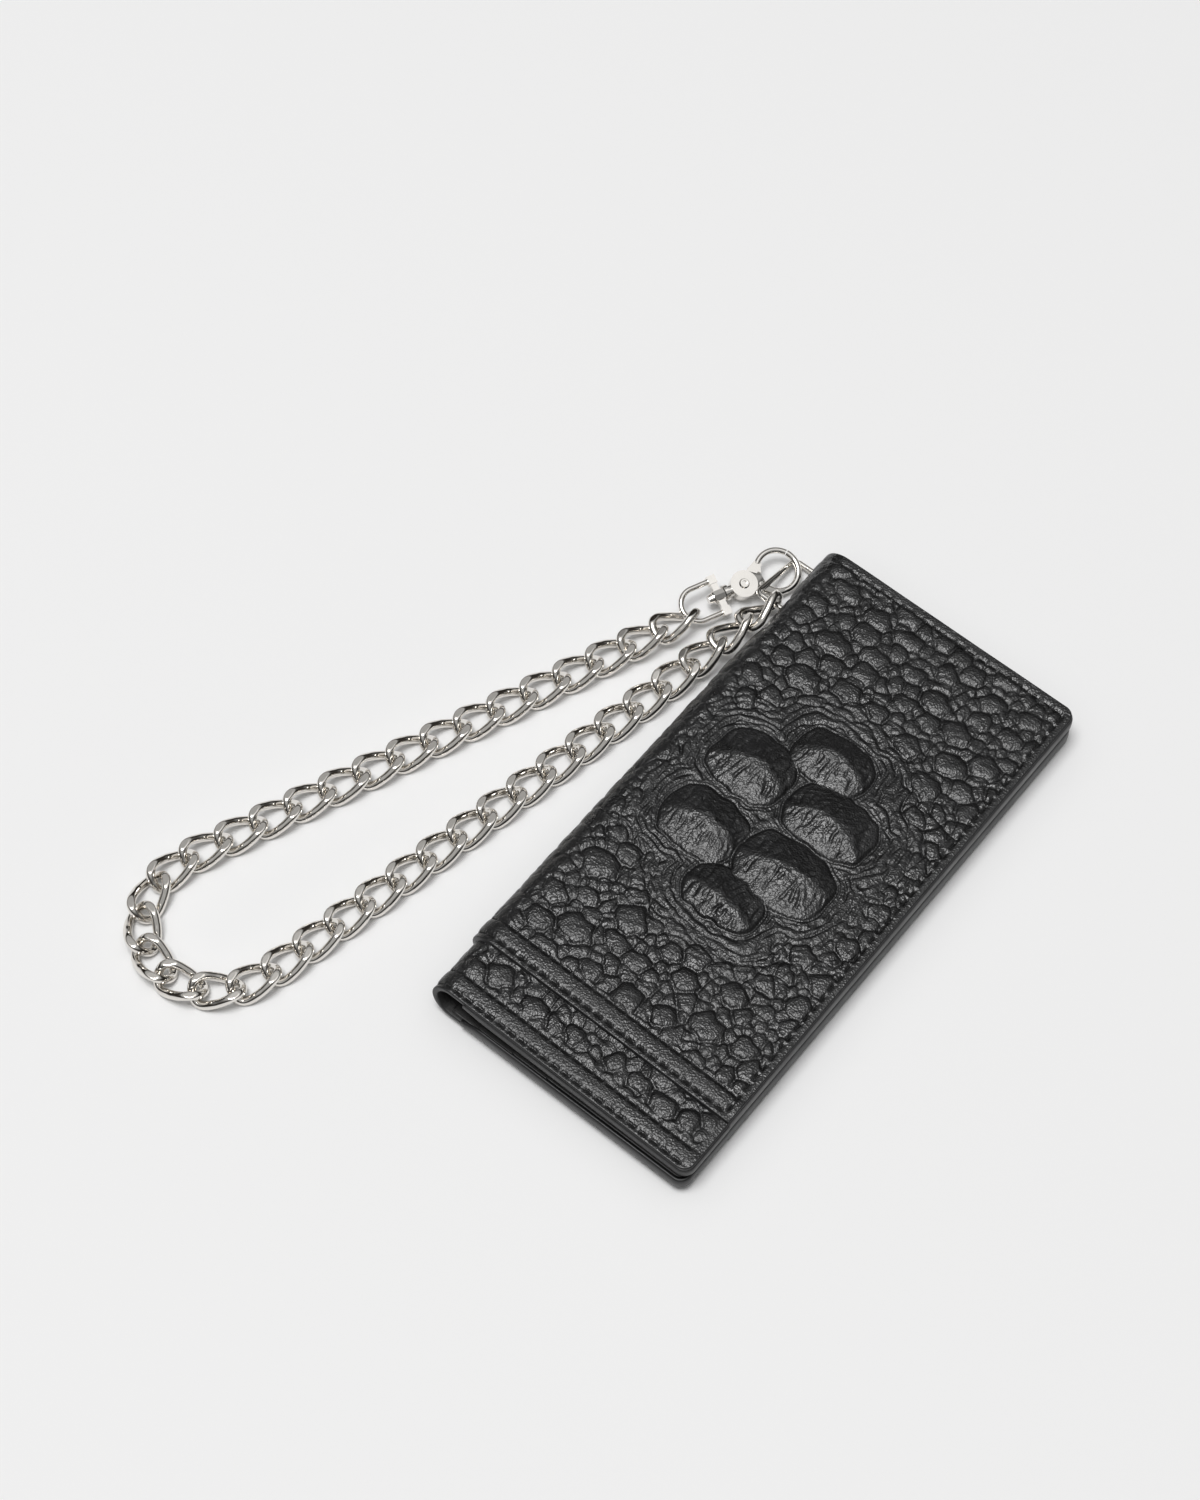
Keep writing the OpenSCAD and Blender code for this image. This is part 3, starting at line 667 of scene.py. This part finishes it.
def twisted_thread(name, color, rough):
    m, tree, shader = material(name, color, rough, specular=0.3)
    place = add(tree, "ShaderNodeTexCoord").outputs["UV"]
    twist = add(tree, "ShaderNodeTexWave", Scale=1.0, Distortion=0.4)
    tree.links.new(place, twist.inputs["Vector"])
    add_bump(tree, shader, twist.outputs["Fac"], 0.6, 0.0001)
    return m


BLACK, WORN_BLACK = (0.0042, 0.0042, 0.0045), (0.010, 0.010, 0.0105)
WARM_BLACK = (0.014, 0.0135, 0.013)
CROC = leather("croc_leather", BLACK, 0.30, 0.62, 0.08, specular=0.66)
EDGE = leather("edge_paint", WORN_BLACK, 0.40, 1.6, 0.03, coords="Object")
SUEDE = leather("lining_leather", WARM_BLACK, 0.58, 0.5, 0.05, specular=0.32)
SMOOTH = leather("smooth_leather", WORN_BLACK, 0.40, 0.6, 0.08, coords="Object")
NICKEL = metal("polished_nickel", (0.80, 0.775, 0.735), 0.07)
CHAIN = metal("chain_nickel", (0.80, 0.77, 0.725), 0.07)
THREAD = twisted_thread("black_thread", (0.006, 0.006, 0.006), 0.6)


# ---- the wrapped leather: base leather, outer panels and fold as one skin ----------------------

SLIT_Y = (BAR[1] - RING_W / 2 - 2.2, BAR[1] + RING_W / 2 + 1.85)
SLIT_HALF, SLIT_MORE, SLIT_MORE_L = 2.75, 0.35, 6.5    # half height, and how it grows at the strap
DENSE_S, DENSE_Y = (72.0, 6.0), (-34.0, 48.0)          # where the bosses need a fine grid
MOUTH_LINES = np.array([-0.04, 0.0, 0.05, 0.12, 0.22, 0.36, 0.55, 0.8])
MOUTH_FACE = 6                                         # rows of the grid on the mouth's cut edge
# Steps of the grid over the front, round the fold (to the slit, over it and on) and over the back
N_FRONT, N_FOLD, N_BACK = (40, 200, 16), (24, 16, 16), 32
# Steps along y: near band, mouth, to the bosses, bosses, to the slit, slit, to the far end
N_ALONG = (40, len(MOUTH_LINES), 104, 232, 56, 48, 8)


def slit_edges(y):
    """Wrapped coordinates of the slit's upper and lower edge."""
    at = np.clip(y, *SLIT_Y)
    mid = BAR[2] + (BAR[1] - at) * math.tan(RING_TILT)
    half = SLIT_HALF + SLIT_MORE * np.exp(-((at - BAR[1]) / SLIT_MORE_L) ** 4)
    edges = []
    for z in (mid + half, mid - half):
        beta = LEAN + np.arccos(np.clip((z - FOLD_R) / FOLD_R, -0.965, 0.98))
        edges.append(-FOLD_R * beta)
    return edges


def case_grid():
    """Unrolled grid of the skin, with the slit's edges on its lines and rounded corners."""
    end, far_end = SPAN - EDGE_IN - EDGE_R, FAR_Y - EDGE_R - 0.05
    marks = (MOUTH_Y + MOUTH_LINES[-1], *DENSE_Y, *SLIT_Y, far_end)
    ys = [np.linspace(FRONT_NEAR_Y + EDGE_IN + EDGE_R, MOUTH_Y - 0.1, N_ALONG[0] + 1)]
    ys.append(MOUTH_Y + MOUTH_LINES)
    ys += [np.linspace(a, b, n + 1)[1:] for a, b, n in zip(marks, marks[1:], N_ALONG[2:])]
    ys = np.concatenate(ys)
    high, low = slit_edges(ys)
    marks = (end, *DENSE_S, 0)
    front = [np.linspace(a, b, n, endpoint=False) for a, b, n in zip(marks, marks[1:], N_FRONT)]
    cols = [np.repeat(s, len(ys)) for s in np.append(np.concatenate(front), 0)]
    for count, a, b in zip(N_FOLD, (0 * high, high, low), (high, low, 0 * low - ARC)):
        cols += [a + (b - a) * k / count for k in range(1, count + 1)]
    cols += [np.repeat(s, len(ys)) for s in np.linspace(-ARC, -ARC - end, N_BACK + 1)[1:]]
    s = np.array(cols)
    y = np.broadcast_to(ys, s.shape)
    reach = near_edge(s) - FRONT_NEAR_Y
    y = y + reach * smooth((MOUTH_Y - y) / (MOUTH_Y - FRONT_NEAR_Y))
    r = CORNER_R - EDGE_R
    for body in ("front", "back"):
        half = on_half(s, body)
        for sign, last in ((1, far_end), (-1, -(near_edge(s) + EDGE_IN + EDGE_R))):
            half, q = round_corner(half, sign * y, end - r, last - r, r)
            y = sign * q
        s = on_half(half, body)
    return s, y


def leather_case():
    s, y = case_grid()
    top, normal = around(s, y, surface(s, y))
    under, _ = around(s, y, -SHELL_T)
    first = sum(N_FRONT) + N_FOLD[0]
    hole = (first, first + N_FOLD[1], sum(N_ALONG[:5]), sum(N_ALONG[:6]))
    cut = range(N_ALONG[0], N_ALONG[0] + MOUTH_FACE)
    verts, faces, parts, uv = shell(top, normal, under, np.stack([s, y], -1), hole, cut)
    obj = new_mesh("leather_case", verts, faces, [CROC, EDGE, SUEDE], parts, uv)
    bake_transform(obj)
    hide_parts("back_cover", "front_cover", "spine_fold",
                "back_outer_panel", "front_outer_panel")


# ---- stitches ----------------------------------------------------------------------------------

STITCH_HALF, STITCH_R = 1.55, 0.27
STITCH_RINGS, STITCH_SIDES = 7, 8
SLIT_S, SLIT_CLEAR = (-26, -5), 1.5          # no stitches here, where the ring comes out


def stitch_mesh(name, places):
    """Short threads that dip into the leather at both ends.

    Places are points with a direction and a normal.
    """
    points, ways, ups = (np.array(v) for v in zip(*places))
    ways, ups = unit(ways), unit(ups)
    sides = unit(np.cross(ups, ways))
    verts, uv, faces = [], [], []
    for k in np.linspace(-1, 1, STITCH_RINGS):
        girth = STITCH_R * math.sqrt(max(0.06, 1 - abs(k) ** 5))
        for j in range(STITCH_SIDES):
            a = TURN * j / STITCH_SIDES
            rise = 0.12 - 0.42 * k ** 4 + 0.8 * girth * math.sin(a)
            aside = sides * (girth * math.cos(a))
            verts.append(points + ways * (k * STITCH_HALF) + aside + ups * rise)
            uv.append(np.tile([k * 2.0, a / math.pi], (len(points), 1)))
    one = tube_faces(STITCH_RINGS, STITCH_SIDES) + cap_faces(STITCH_RINGS, STITCH_SIDES)
    for n in range(len(points)):
        faces += [tuple(n * len(verts) + v for v in f) for f in one]
    return new_mesh(name, np.stack(verts, 1).reshape(-1, 3), faces, [THREAD],
                    uv=np.stack(uv, 1).reshape(-1, 2) / MM)


def row_places(length, place):
    """Stitches along a row of the unrolled leather; place gives the point at a run along it."""
    step, out = row_pitch(length), []
    for i in range(round(length / step)):
        run = (i + 0.5) * step
        s, y = place(run)
        if SLIT_S[0] < s < SLIT_S[1] and SLIT_Y[0] - SLIT_CLEAR < y < SLIT_Y[1] + SLIT_CLEAR:
            continue
        (a, _), (b, _) = around(*place(run - 0.2), 0), around(*place(run + 0.2), 0)
        sunk = 0.10 * float(smooth((-ARC - s) / 3))
        p, n = around(s, y, float(surface(s, y)) - sunk)
        out.append((p, b - a, n))
    return out


def outer_stitching():
    places = []
    for offset in NEAR_ROWS:
        places += row_places(CROSS_ROW, lambda run: (
            ROW_START - run, float(near_edge(ROW_START - run)) + offset))
    for at in [MOUTH_Y + r for r in MOUTH_ROWS] + [FAR_Y - SIDE_ROW]:
        places += row_places(CROSS_ROW, lambda run: (ROW_START - run, at))
    for at in (SPAN - SIDE_ROW, on_back(SPAN - SIDE_ROW)):
        places += row_places(LONG_ROW, lambda run: (at, SIDE_FROM + run))
    obj = stitch_mesh("outer_stitching", places)
    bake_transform(obj)


# ---- painted edges, lining and pocket leaves ---------------------------------------------------

EDGE_START, EDGE_TOP, EDGE_LEAST = 5.0, 0.42, 2.2      # from the fold, below the skin, least height
# Outline of the painted edge: how far out, and how far down its height
EDGE_PROFILE = [(-1.1, 0.16), (-0.75, 0.0), (-0.42, 0.03), (-0.16, 0.1), (-0.02, 0.24), (0.05, 0.5),
                (-0.02, 0.78), (-0.2, 0.92), (-0.55, 1.0), (-1.15, 1.0), (-1.3, 0.93), (-1.3, 0.5)]
LEAF_INSET, LEAF_GAP = 1.35, 0.04
SEAM_INSET = 3.6


def corner(x, y, start):
    """Quarter circle round a corner's centre, from an angle in degrees."""
    turns = [math.radians(a) for a in np.linspace(start, start + 90, 13)]
    return [(x + CORNER_R * math.cos(a), y + CORNER_R * math.sin(a)) for a in turns]


def edge_path(near):
    """Outline of one half from the fold round the open edge and back."""
    inner = SPAN - CORNER_R
    pts = [(x, near) for x in np.arange(EDGE_START, inner, 1.5)]
    pts += corner(inner, near + CORNER_R, -90)
    pts += [(SPAN, y) for y in np.arange(near + CORNER_R + 1.0, MOUTH_Y - 0.2, 1.5)]
    pts += [(SPAN, MOUTH_Y + d) for d in (-0.2, -0.05, 0.1, 0.3, 0.6)]
    pts += [(SPAN, y) for y in np.arange(MOUTH_Y + 1.5, FAR_Y - CORNER_R, 2.5)]
    pts += corner(inner, FAR_Y - CORNER_R, 0)
    pts += [(x, FAR_Y) for x in np.arange(inner - 1.5, EDGE_START, -1.5)]
    return np.array(pts)


def painted_edge(name, body):
    """Rounded painted edge over the layers of one half."""
    path = edge_path(NEAR_END[body])
    way = np.gradient(path, axis=0)
    out = unit(np.stack([way[:, 1], -way[:, 0]], 1))
    count, sides = len(path), len(EDGE_PROFILE)
    from_end = np.minimum(np.arange(count), np.arange(count)[::-1])
    top = EDGE_TOP + PANEL_T * (1 - smooth((path[:, 1] - MOUTH_Y + 0.15) / 0.4))
    full = 0.35 + 0.65 * smooth(from_end / 5.0)
    low = top + EDGE_LEAST + (DEPTH[body] - top - EDGE_LEAST) * full
    verts = []
    for e, d in EDGE_PROFILE:
        flat = path + out * e
        p, _ = around(on_half(flat[:, 0], body), flat[:, 1], -(top + (low - top) * d))
        verts.append(p)
    faces = tube_faces(count, sides) + cap_faces(count, sides)
    if body == "front":
        faces = [f[::-1] for f in faces]
    new_mesh(name, np.stack(verts, 1).reshape(-1, 3), faces, [EDGE],
             body=body)


def leaf(name, node, body, start, depth, thick):
    """One flat leaf inside a half, with round edges, a creased mouth and a little slack."""
    s_line = np.linspace(start + EDGE_R, SPAN - LEAF_INSET - EDGE_R, 65)
    y_line = np.linspace(NEAR_END[body] + LEAF_INSET + EDGE_R, FAR_Y - LEAF_INSET - EDGE_R, 129)
    s, y = np.meshgrid(s_line, y_line, indexing="ij")
    r = CORNER_R - LEAF_INSET
    s, y = round_corner(s, y, s_line[-1] - r, y_line[-1] - r, r)
    s, q = round_corner(s, -y, s_line[-1] - r, -y_line[0] - r, r)
    y = -q
    slack = 0.05 * wave(s, y, len(name), 30)
    crease = -0.10 * bell(s - start - 2.6, 0.35)
    place = on_half(s, body)
    inside, normal = around(place, y, -(depth + thick) - slack - crease - LEAF_GAP)
    outside, _ = around(place, y, -depth - LEAF_GAP)
    verts, faces, parts, uv = shell(inside, -normal, outside, np.stack([s, y], -1),
                                    radius=min(EDGE_R, 0.42 * thick))
    if body == "front":
        faces = [f[::-1] for f in faces]
    obj = new_mesh(name, verts, faces, [SUEDE, EDGE], np.minimum(parts, 1), uv,
                   body=body)
    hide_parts(node)


def inner_stitches(name, body):
    """Rows of stitches round the pocket leaves of one half, on their innermost face."""
    places = []
    start, end = POCKET_INSET + 2 * SLOT_STEP + 3, SPAN - SEAM_INSET
    first, last = NEAR_END[body] + SEAM_INSET, FAR_Y - SEAM_INSET
    lean = 0 if body == "back" else LEAN
    marks = ((start, first), (end, first), (end, last), (start, last))
    for (s0, y0), (s1, y1) in zip(marks, marks[1:]):
        way = np.array([(s1 - s0) * math.cos(lean), y1 - y0, -(s1 - s0) * math.sin(lean)])
        count = round(math.hypot(s1 - s0, y1 - y0) / STITCH)
        for i in range(count):
            k = (i + 0.5) / count
            s, y = s0 + (s1 - s0) * k, y0 + (y1 - y0) * k
            p, n = around(on_half(s, body), y, -DEPTH[body] - 0.02)
            places.append((p, way, -n))
    obj = stitch_mesh(name, places)
    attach(obj, body)


# ---- ring tab ----------------------------------------------------------------------------------

TAB_REACH, TAB_PLAY, TAB_SEAM = 8.6, 0.25, 0.02
TAB_LINES = np.array([-0.5, -0.47, -0.4, -0.2, 0, 0.2, 0.4, 0.47, 0.5]) * STRAP_W


def ring_tab():
    """A strap that loops round the ring's bar, with its two tails sewn together inside the fold."""
    inner = RING_WIRE / 2 + TAB_PLAY
    tail, flat = FOLD_X + TAB_REACH - BAR[0], STRAP_T * 0.98
    turns = [math.radians(a) for a in np.linspace(40, 320, 29)]
    wide, tight = ([(r * math.cos(a), r * math.sin(a)) for a in turns]
                   for r in (inner + STRAP_T, inner))
    run = np.linspace(tail - 2, inner + 2.6, 5)
    upper = [(tail, flat), (tail - 0.4, flat + 0.02)] + [(x, flat) for x in run]
    outer = upper + wide + [(x, -z) for x, z in upper[::-1]]
    seam = [(tail, TAB_SEAM), (inner + 1.6, TAB_SEAM)]
    inside = [(x, -z) for x, z in seam] + tight[::-1] + seam[::-1]
    ring = outer + inside
    verts = []
    for w in TAB_LINES:
        for x, z in ring:
            tilt = math.tan(RING_TILT) * smooth(1 - (x - inner) / 5.0)
            verts.append((BAR[0] + x, BAR[1] + w, BAR[2] + z - w * tilt))
    rings, sides = len(TAB_LINES), len(ring)
    faces = [f[::-1] for f in tube_faces(rings, sides)]
    # Strips across the strap's thickness close the two cut sides
    steps = max(len(outer), len(inside)) - 1
    for base, flip in ((0, False), ((rings - 1) * sides, True)):
        pa = [base + round(i * (len(outer) - 1) / steps) for i in range(steps + 1)]
        pb = [base + sides - 1 - round(i * (len(inside) - 1) / steps) for i in range(steps + 1)]
        for i in range(steps):
            f = tuple(dict.fromkeys((pa[i], pa[i + 1], pb[i + 1], pb[i])))
            if len(f) > 2:
                faces.append(f[::-1] if flip else f)
    obj = new_mesh("ring_tab_strap", verts, faces, [SMOOTH], body="back")
    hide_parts("ring_tab")


# ---- chain -------------------------------------------------------------------------------------

LINK_STEPS, LINK_SIDES = 96, 28
LINK_LESS = 0.08       # the wire is a little thinner than the solid's


def link_mesh():
    """One curb link: a twisted oval of round wire, ground flat above and below."""
    a, b = (LINK_PITCH + LINK_WIRE + LINK_PLAY) / 2, (LINK_W - LINK_WIRE) / 2

    def middle(t):
        c, s = signed_power(np.cos(t), LINK_OVAL), signed_power(np.sin(t), LINK_OVAL)
        return np.stack([a * c, b * s, -LINK_RISE * np.sin(2 * t)], -1)

    t = (np.arange(LINK_STEPS) + 0.5) * TURN / LINK_STEPS
    e = math.radians(4)
    along = unit(middle(t + e) - middle(t - e))
    side = unit(np.cross([0, 0, 1.0], along))
    over = np.cross(along, side)
    k = (np.arange(LINK_SIDES) * TURN / LINK_SIDES)[None, :, None]
    round_wire = np.cos(k) * side[:, None] + np.sin(k) * over[:, None]
    q = middle(t)[:, None] + (LINK_WIRE - LINK_LESS) / 2 * round_wire
    q[..., 2] = np.clip(q[..., 2], -LINK_FLAT / 2, LINK_FLAT / 2)
    here = np.arange(LINK_STEPS * LINK_SIDES).reshape(LINK_STEPS, LINK_SIDES)
    on = np.roll(here, -1, 0)
    faces = np.stack([here, on, np.roll(on, -1, 1), np.roll(here, -1, 1)], -1)
    return q.reshape(-1, 3), faces.reshape(-1, 4)


def chain():
    """Links that share one mesh, each laid along the main axes of its solid."""
    verts, faces = link_mesh()
    shared = None
    for name in sorted(n for n in frame["nodes"] if n.startswith("link_")):
        node = frame["nodes"][name]
        points = np.unique(np.round(np.array([v.co for v in node.data.vertices]), 7), axis=0)
        middle = points.mean(0)
        _, axes = np.linalg.eigh(np.cov((points - middle).T))
        x, z = axes[:, 2], axes[:, 0]
        turned = np.stack([x, np.cross(z, x), z], 1)
        if shared is None:
            obj = new_mesh("chain_" + name, verts, faces, [CHAIN])
            shared = obj.data
        else:
            obj = new_object("chain_" + name, shared)
        obj.matrix_world = Matrix([[*row, m] for row, m in zip(turned, middle)] + [[0, 0, 0, 1]])
        bpy.context.view_layer.update()
        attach(obj, node["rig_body"])
        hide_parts(name)


# ---- clasp -------------------------------------------------------------------------------------

SHOULDER_STEPS, SHOULDER_SIDES, SHOULDER_SQUARE = 36, 32, 0.7
SHOULDER_FROM, SHOULDER_TURN = 186, 84       # degrees round the hook's eye
SHOULDER_END = HOOK_R - 0.08                 # it ends inside the hook's wire


def round_end(k, reach):
    """Girth that closes in a round over a reach from an end."""
    return math.sqrt(max(0.02, 1 - max(0, 1 - k / reach) ** 2))


def clasp_shoulder():
    """Cast shoulder that narrows from the clasp's round body into its fixed hook arm."""
    pivot, n = (np.array(JOINTS["trigger_pivot"][key]) for key in ("pos_m", "axis"))
    u = np.array(JOINTS["bail_swivel"]["axis"])
    v = np.cross(n, u)
    b = np.arange(SHOULDER_SIDES) * TURN / SHOULDER_SIDES
    across = signed_power(np.cos(b), SHOULDER_SQUARE)[:, None]
    above = signed_power(np.sin(b), SHOULDER_SQUARE)[:, None]
    verts = []
    for k in np.linspace(0, 1, SHOULDER_STEPS + 1):
        a = math.radians(SHOULDER_FROM + SHOULDER_TURN * k)
        girth = round_end(k, 0.08) * round_end(1 - k, 0.02)
        wide, high = SHOULDER_END + 1.1 * (1 - k) ** 1.1, SHOULDER_END + 1.0 * (1 - k)
        way = u * math.cos(a) + v * math.sin(a)
        middle = pivot / MM + u * EYE_U + way * (EYE_R + 0.85 * max(0, wide - HOOK_R))
        verts.append(middle + girth * (wide * across * way + high * above * n))
    size = (SHOULDER_STEPS + 1, SHOULDER_SIDES)
    faces = tube_faces(*size) + cap_faces(*size)
    new_mesh("clasp_shoulder", np.concatenate(verts), faces, [NICKEL],
             body="clasp")


# ---- everything on the object ------------------------------------------------------------------

leather_case()
outer_stitching()
painted_edge("front_painted_edge", "front")
painted_edge("back_painted_edge", "back")
LINED = SHELL_T + LINING_T
leaf("back_lining_leaf", "back_lining", "back", 0.5, SHELL_T, LINING_T)
leaf("note_pocket", "bill_pocket", "back", POCKET_INSET, LINED, LEAF_T)
leaf("front_lining_leaf", "front_lining", "front", 0.5, SHELL_T, LINING_T)
for n in (1, 2):
    start, depth = POCKET_INSET + n * SLOT_STEP, LINED + (n - 1) * LEAF_T
    leaf(f"back_slot_{n}", f"back_card_slot_{n}", "back", start, depth + LEAF_T, LEAF_T)
    leaf(f"front_slot_{n}", f"front_card_slot_{n}", "front", start, depth, LEAF_T)
inner_stitches("back_pocket_stitching", "back")
inner_stitches("front_pocket_stitching", "front")
ring_tab()
chain()
clasp_shoulder()
for name in ("d_ring", "clasp_hook", "clasp_trigger", "trigger_rivet", "trigger_spring",
             "swivel_post", "swivel_bail"):
    node = frame["nodes"][name]
    node.data.materials.clear()
    node.data.materials.append(NICKEL)
    node.data.polygons.foreach_set("use_smooth", np.ones(len(node.data.polygons), bool))
    bevel = node.modifiers.new("soft_edges", "BEVEL")
    bevel.width, bevel.segments = 0.0003, 3
    bevel.limit_method, bevel.angle_limit = "ANGLE", math.radians(35)


# ---- floor, light and camera, in metres --------------------------------------------------------

FLOOR_Z, FLOOR_FLAT, FLOOR_R, FLOOR_RIM = -0.0003, 2.6, 6.0, 0.7
# Height of the sky's direction and its colour
SKY = [(0.0, (0.028, 0.025, 0.022)), (0.40, (0.040, 0.036, 0.032)), (0.56, (0.20, 0.20, 0.20)),
       (0.70, (0.52, 0.52, 0.52)), (0.88, (0.44, 0.44, 0.44)), (0.94, (1.25, 1.25, 1.25))]
SKY_STRENGTH = 0.92
KEY_AT, KEY_SIZE, KEY_POWER = (-0.30, -0.62, 4.03), 1.9, 97.0
CAMERA_AT = (0.23345, -0.3647, 0.8247)
CAMERA_EL, CAMERA_AZ = math.radians(60.24), math.radians(39.03)


def floor():
    """Pale paper that lies flat round the wallet and rises into a low rim far away."""
    steps, radii = 96, np.concatenate([[1.5], np.linspace(FLOOR_FLAT, FLOOR_R, 18)])
    verts = [(0, 0, FLOOR_Z)]
    for r in radii:
        rise = FLOOR_RIM * float(smooth((r - FLOOR_FLAT) / (FLOOR_R - FLOOR_FLAT))) + FLOOR_Z
        verts += [(r * math.cos(a), r * math.sin(a), rise) for a in np.arange(steps) * TURN / steps]
    faces = [(0, 1 + i, 1 + (i + 1) % steps) for i in range(steps)]
    for k in range(len(radii) - 1):
        low, high = 1 + k * steps, 1 + (k + 1) * steps
        faces += [(low + i, high + i, high + (i + 1) % steps, low + (i + 1) % steps)
                  for i in range(steps)]
    mesh = bpy.data.meshes.new("floor")
    mesh.from_pydata(verts, [], faces)
    mesh.polygons.foreach_set("use_smooth", np.ones(len(faces), bool))
    mesh.materials.append(material("floor_paper", (0.87, 0.87, 0.87), 0.9, specular=0.0)[0])
    obj = new_object("floor", mesh)


def world():
    """Soft studio sky: dark near the horizon, bright overhead."""
    sky = bpy.data.worlds.new("studio")
    bpy.context.scene.world = sky
    sky.use_nodes = True
    tree = sky.node_tree
    split = add(tree, "ShaderNodeSeparateXYZ")
    tree.links.new(add(tree, "ShaderNodeTexCoord").outputs["Generated"], split.inputs[0])
    ramp = add(tree, "ShaderNodeValToRGB")
    tree.links.new(split.outputs["Z"], ramp.inputs["Fac"])
    stops = ramp.color_ramp.elements
    for k, (at, color) in enumerate(SKY):
        stop = stops[k] if k < 2 else stops.new(at)
        stop.position, stop.color = at, (*color, 1)
    background = tree.nodes["Background"]
    tree.links.new(ramp.outputs["Color"], background.inputs["Color"])
    background.inputs["Strength"].default_value = SKY_STRENGTH


def aim(obj, place, way):
    obj.location = place
    obj.rotation_mode = "QUATERNION"
    obj.rotation_quaternion = way.to_track_quat("-Z", "Y")


def key_light():
    data = bpy.data.lights.new("key", "AREA")
    data.shape, data.size, data.energy = "DISK", KEY_SIZE, KEY_POWER
    aim(new_object("key", data), KEY_AT, -Vector(KEY_AT))


def camera():
    data = bpy.data.cameras.new("camera")
    data.sensor_width, data.lens = 36.0, 72.65
    data.clip_start, data.clip_end = 0.05, 20.0
    flat = math.cos(CAMERA_EL)
    way = (-math.sin(CAMERA_AZ) * flat, math.cos(CAMERA_AZ) * flat, -math.sin(CAMERA_EL))
    obj = new_object("camera", data)
    aim(obj, CAMERA_AT, Vector(way))
    bpy.context.scene.camera = obj


floor()
world()
key_light()
camera()
bpy.context.scene.view_settings.view_transform = "Standard"
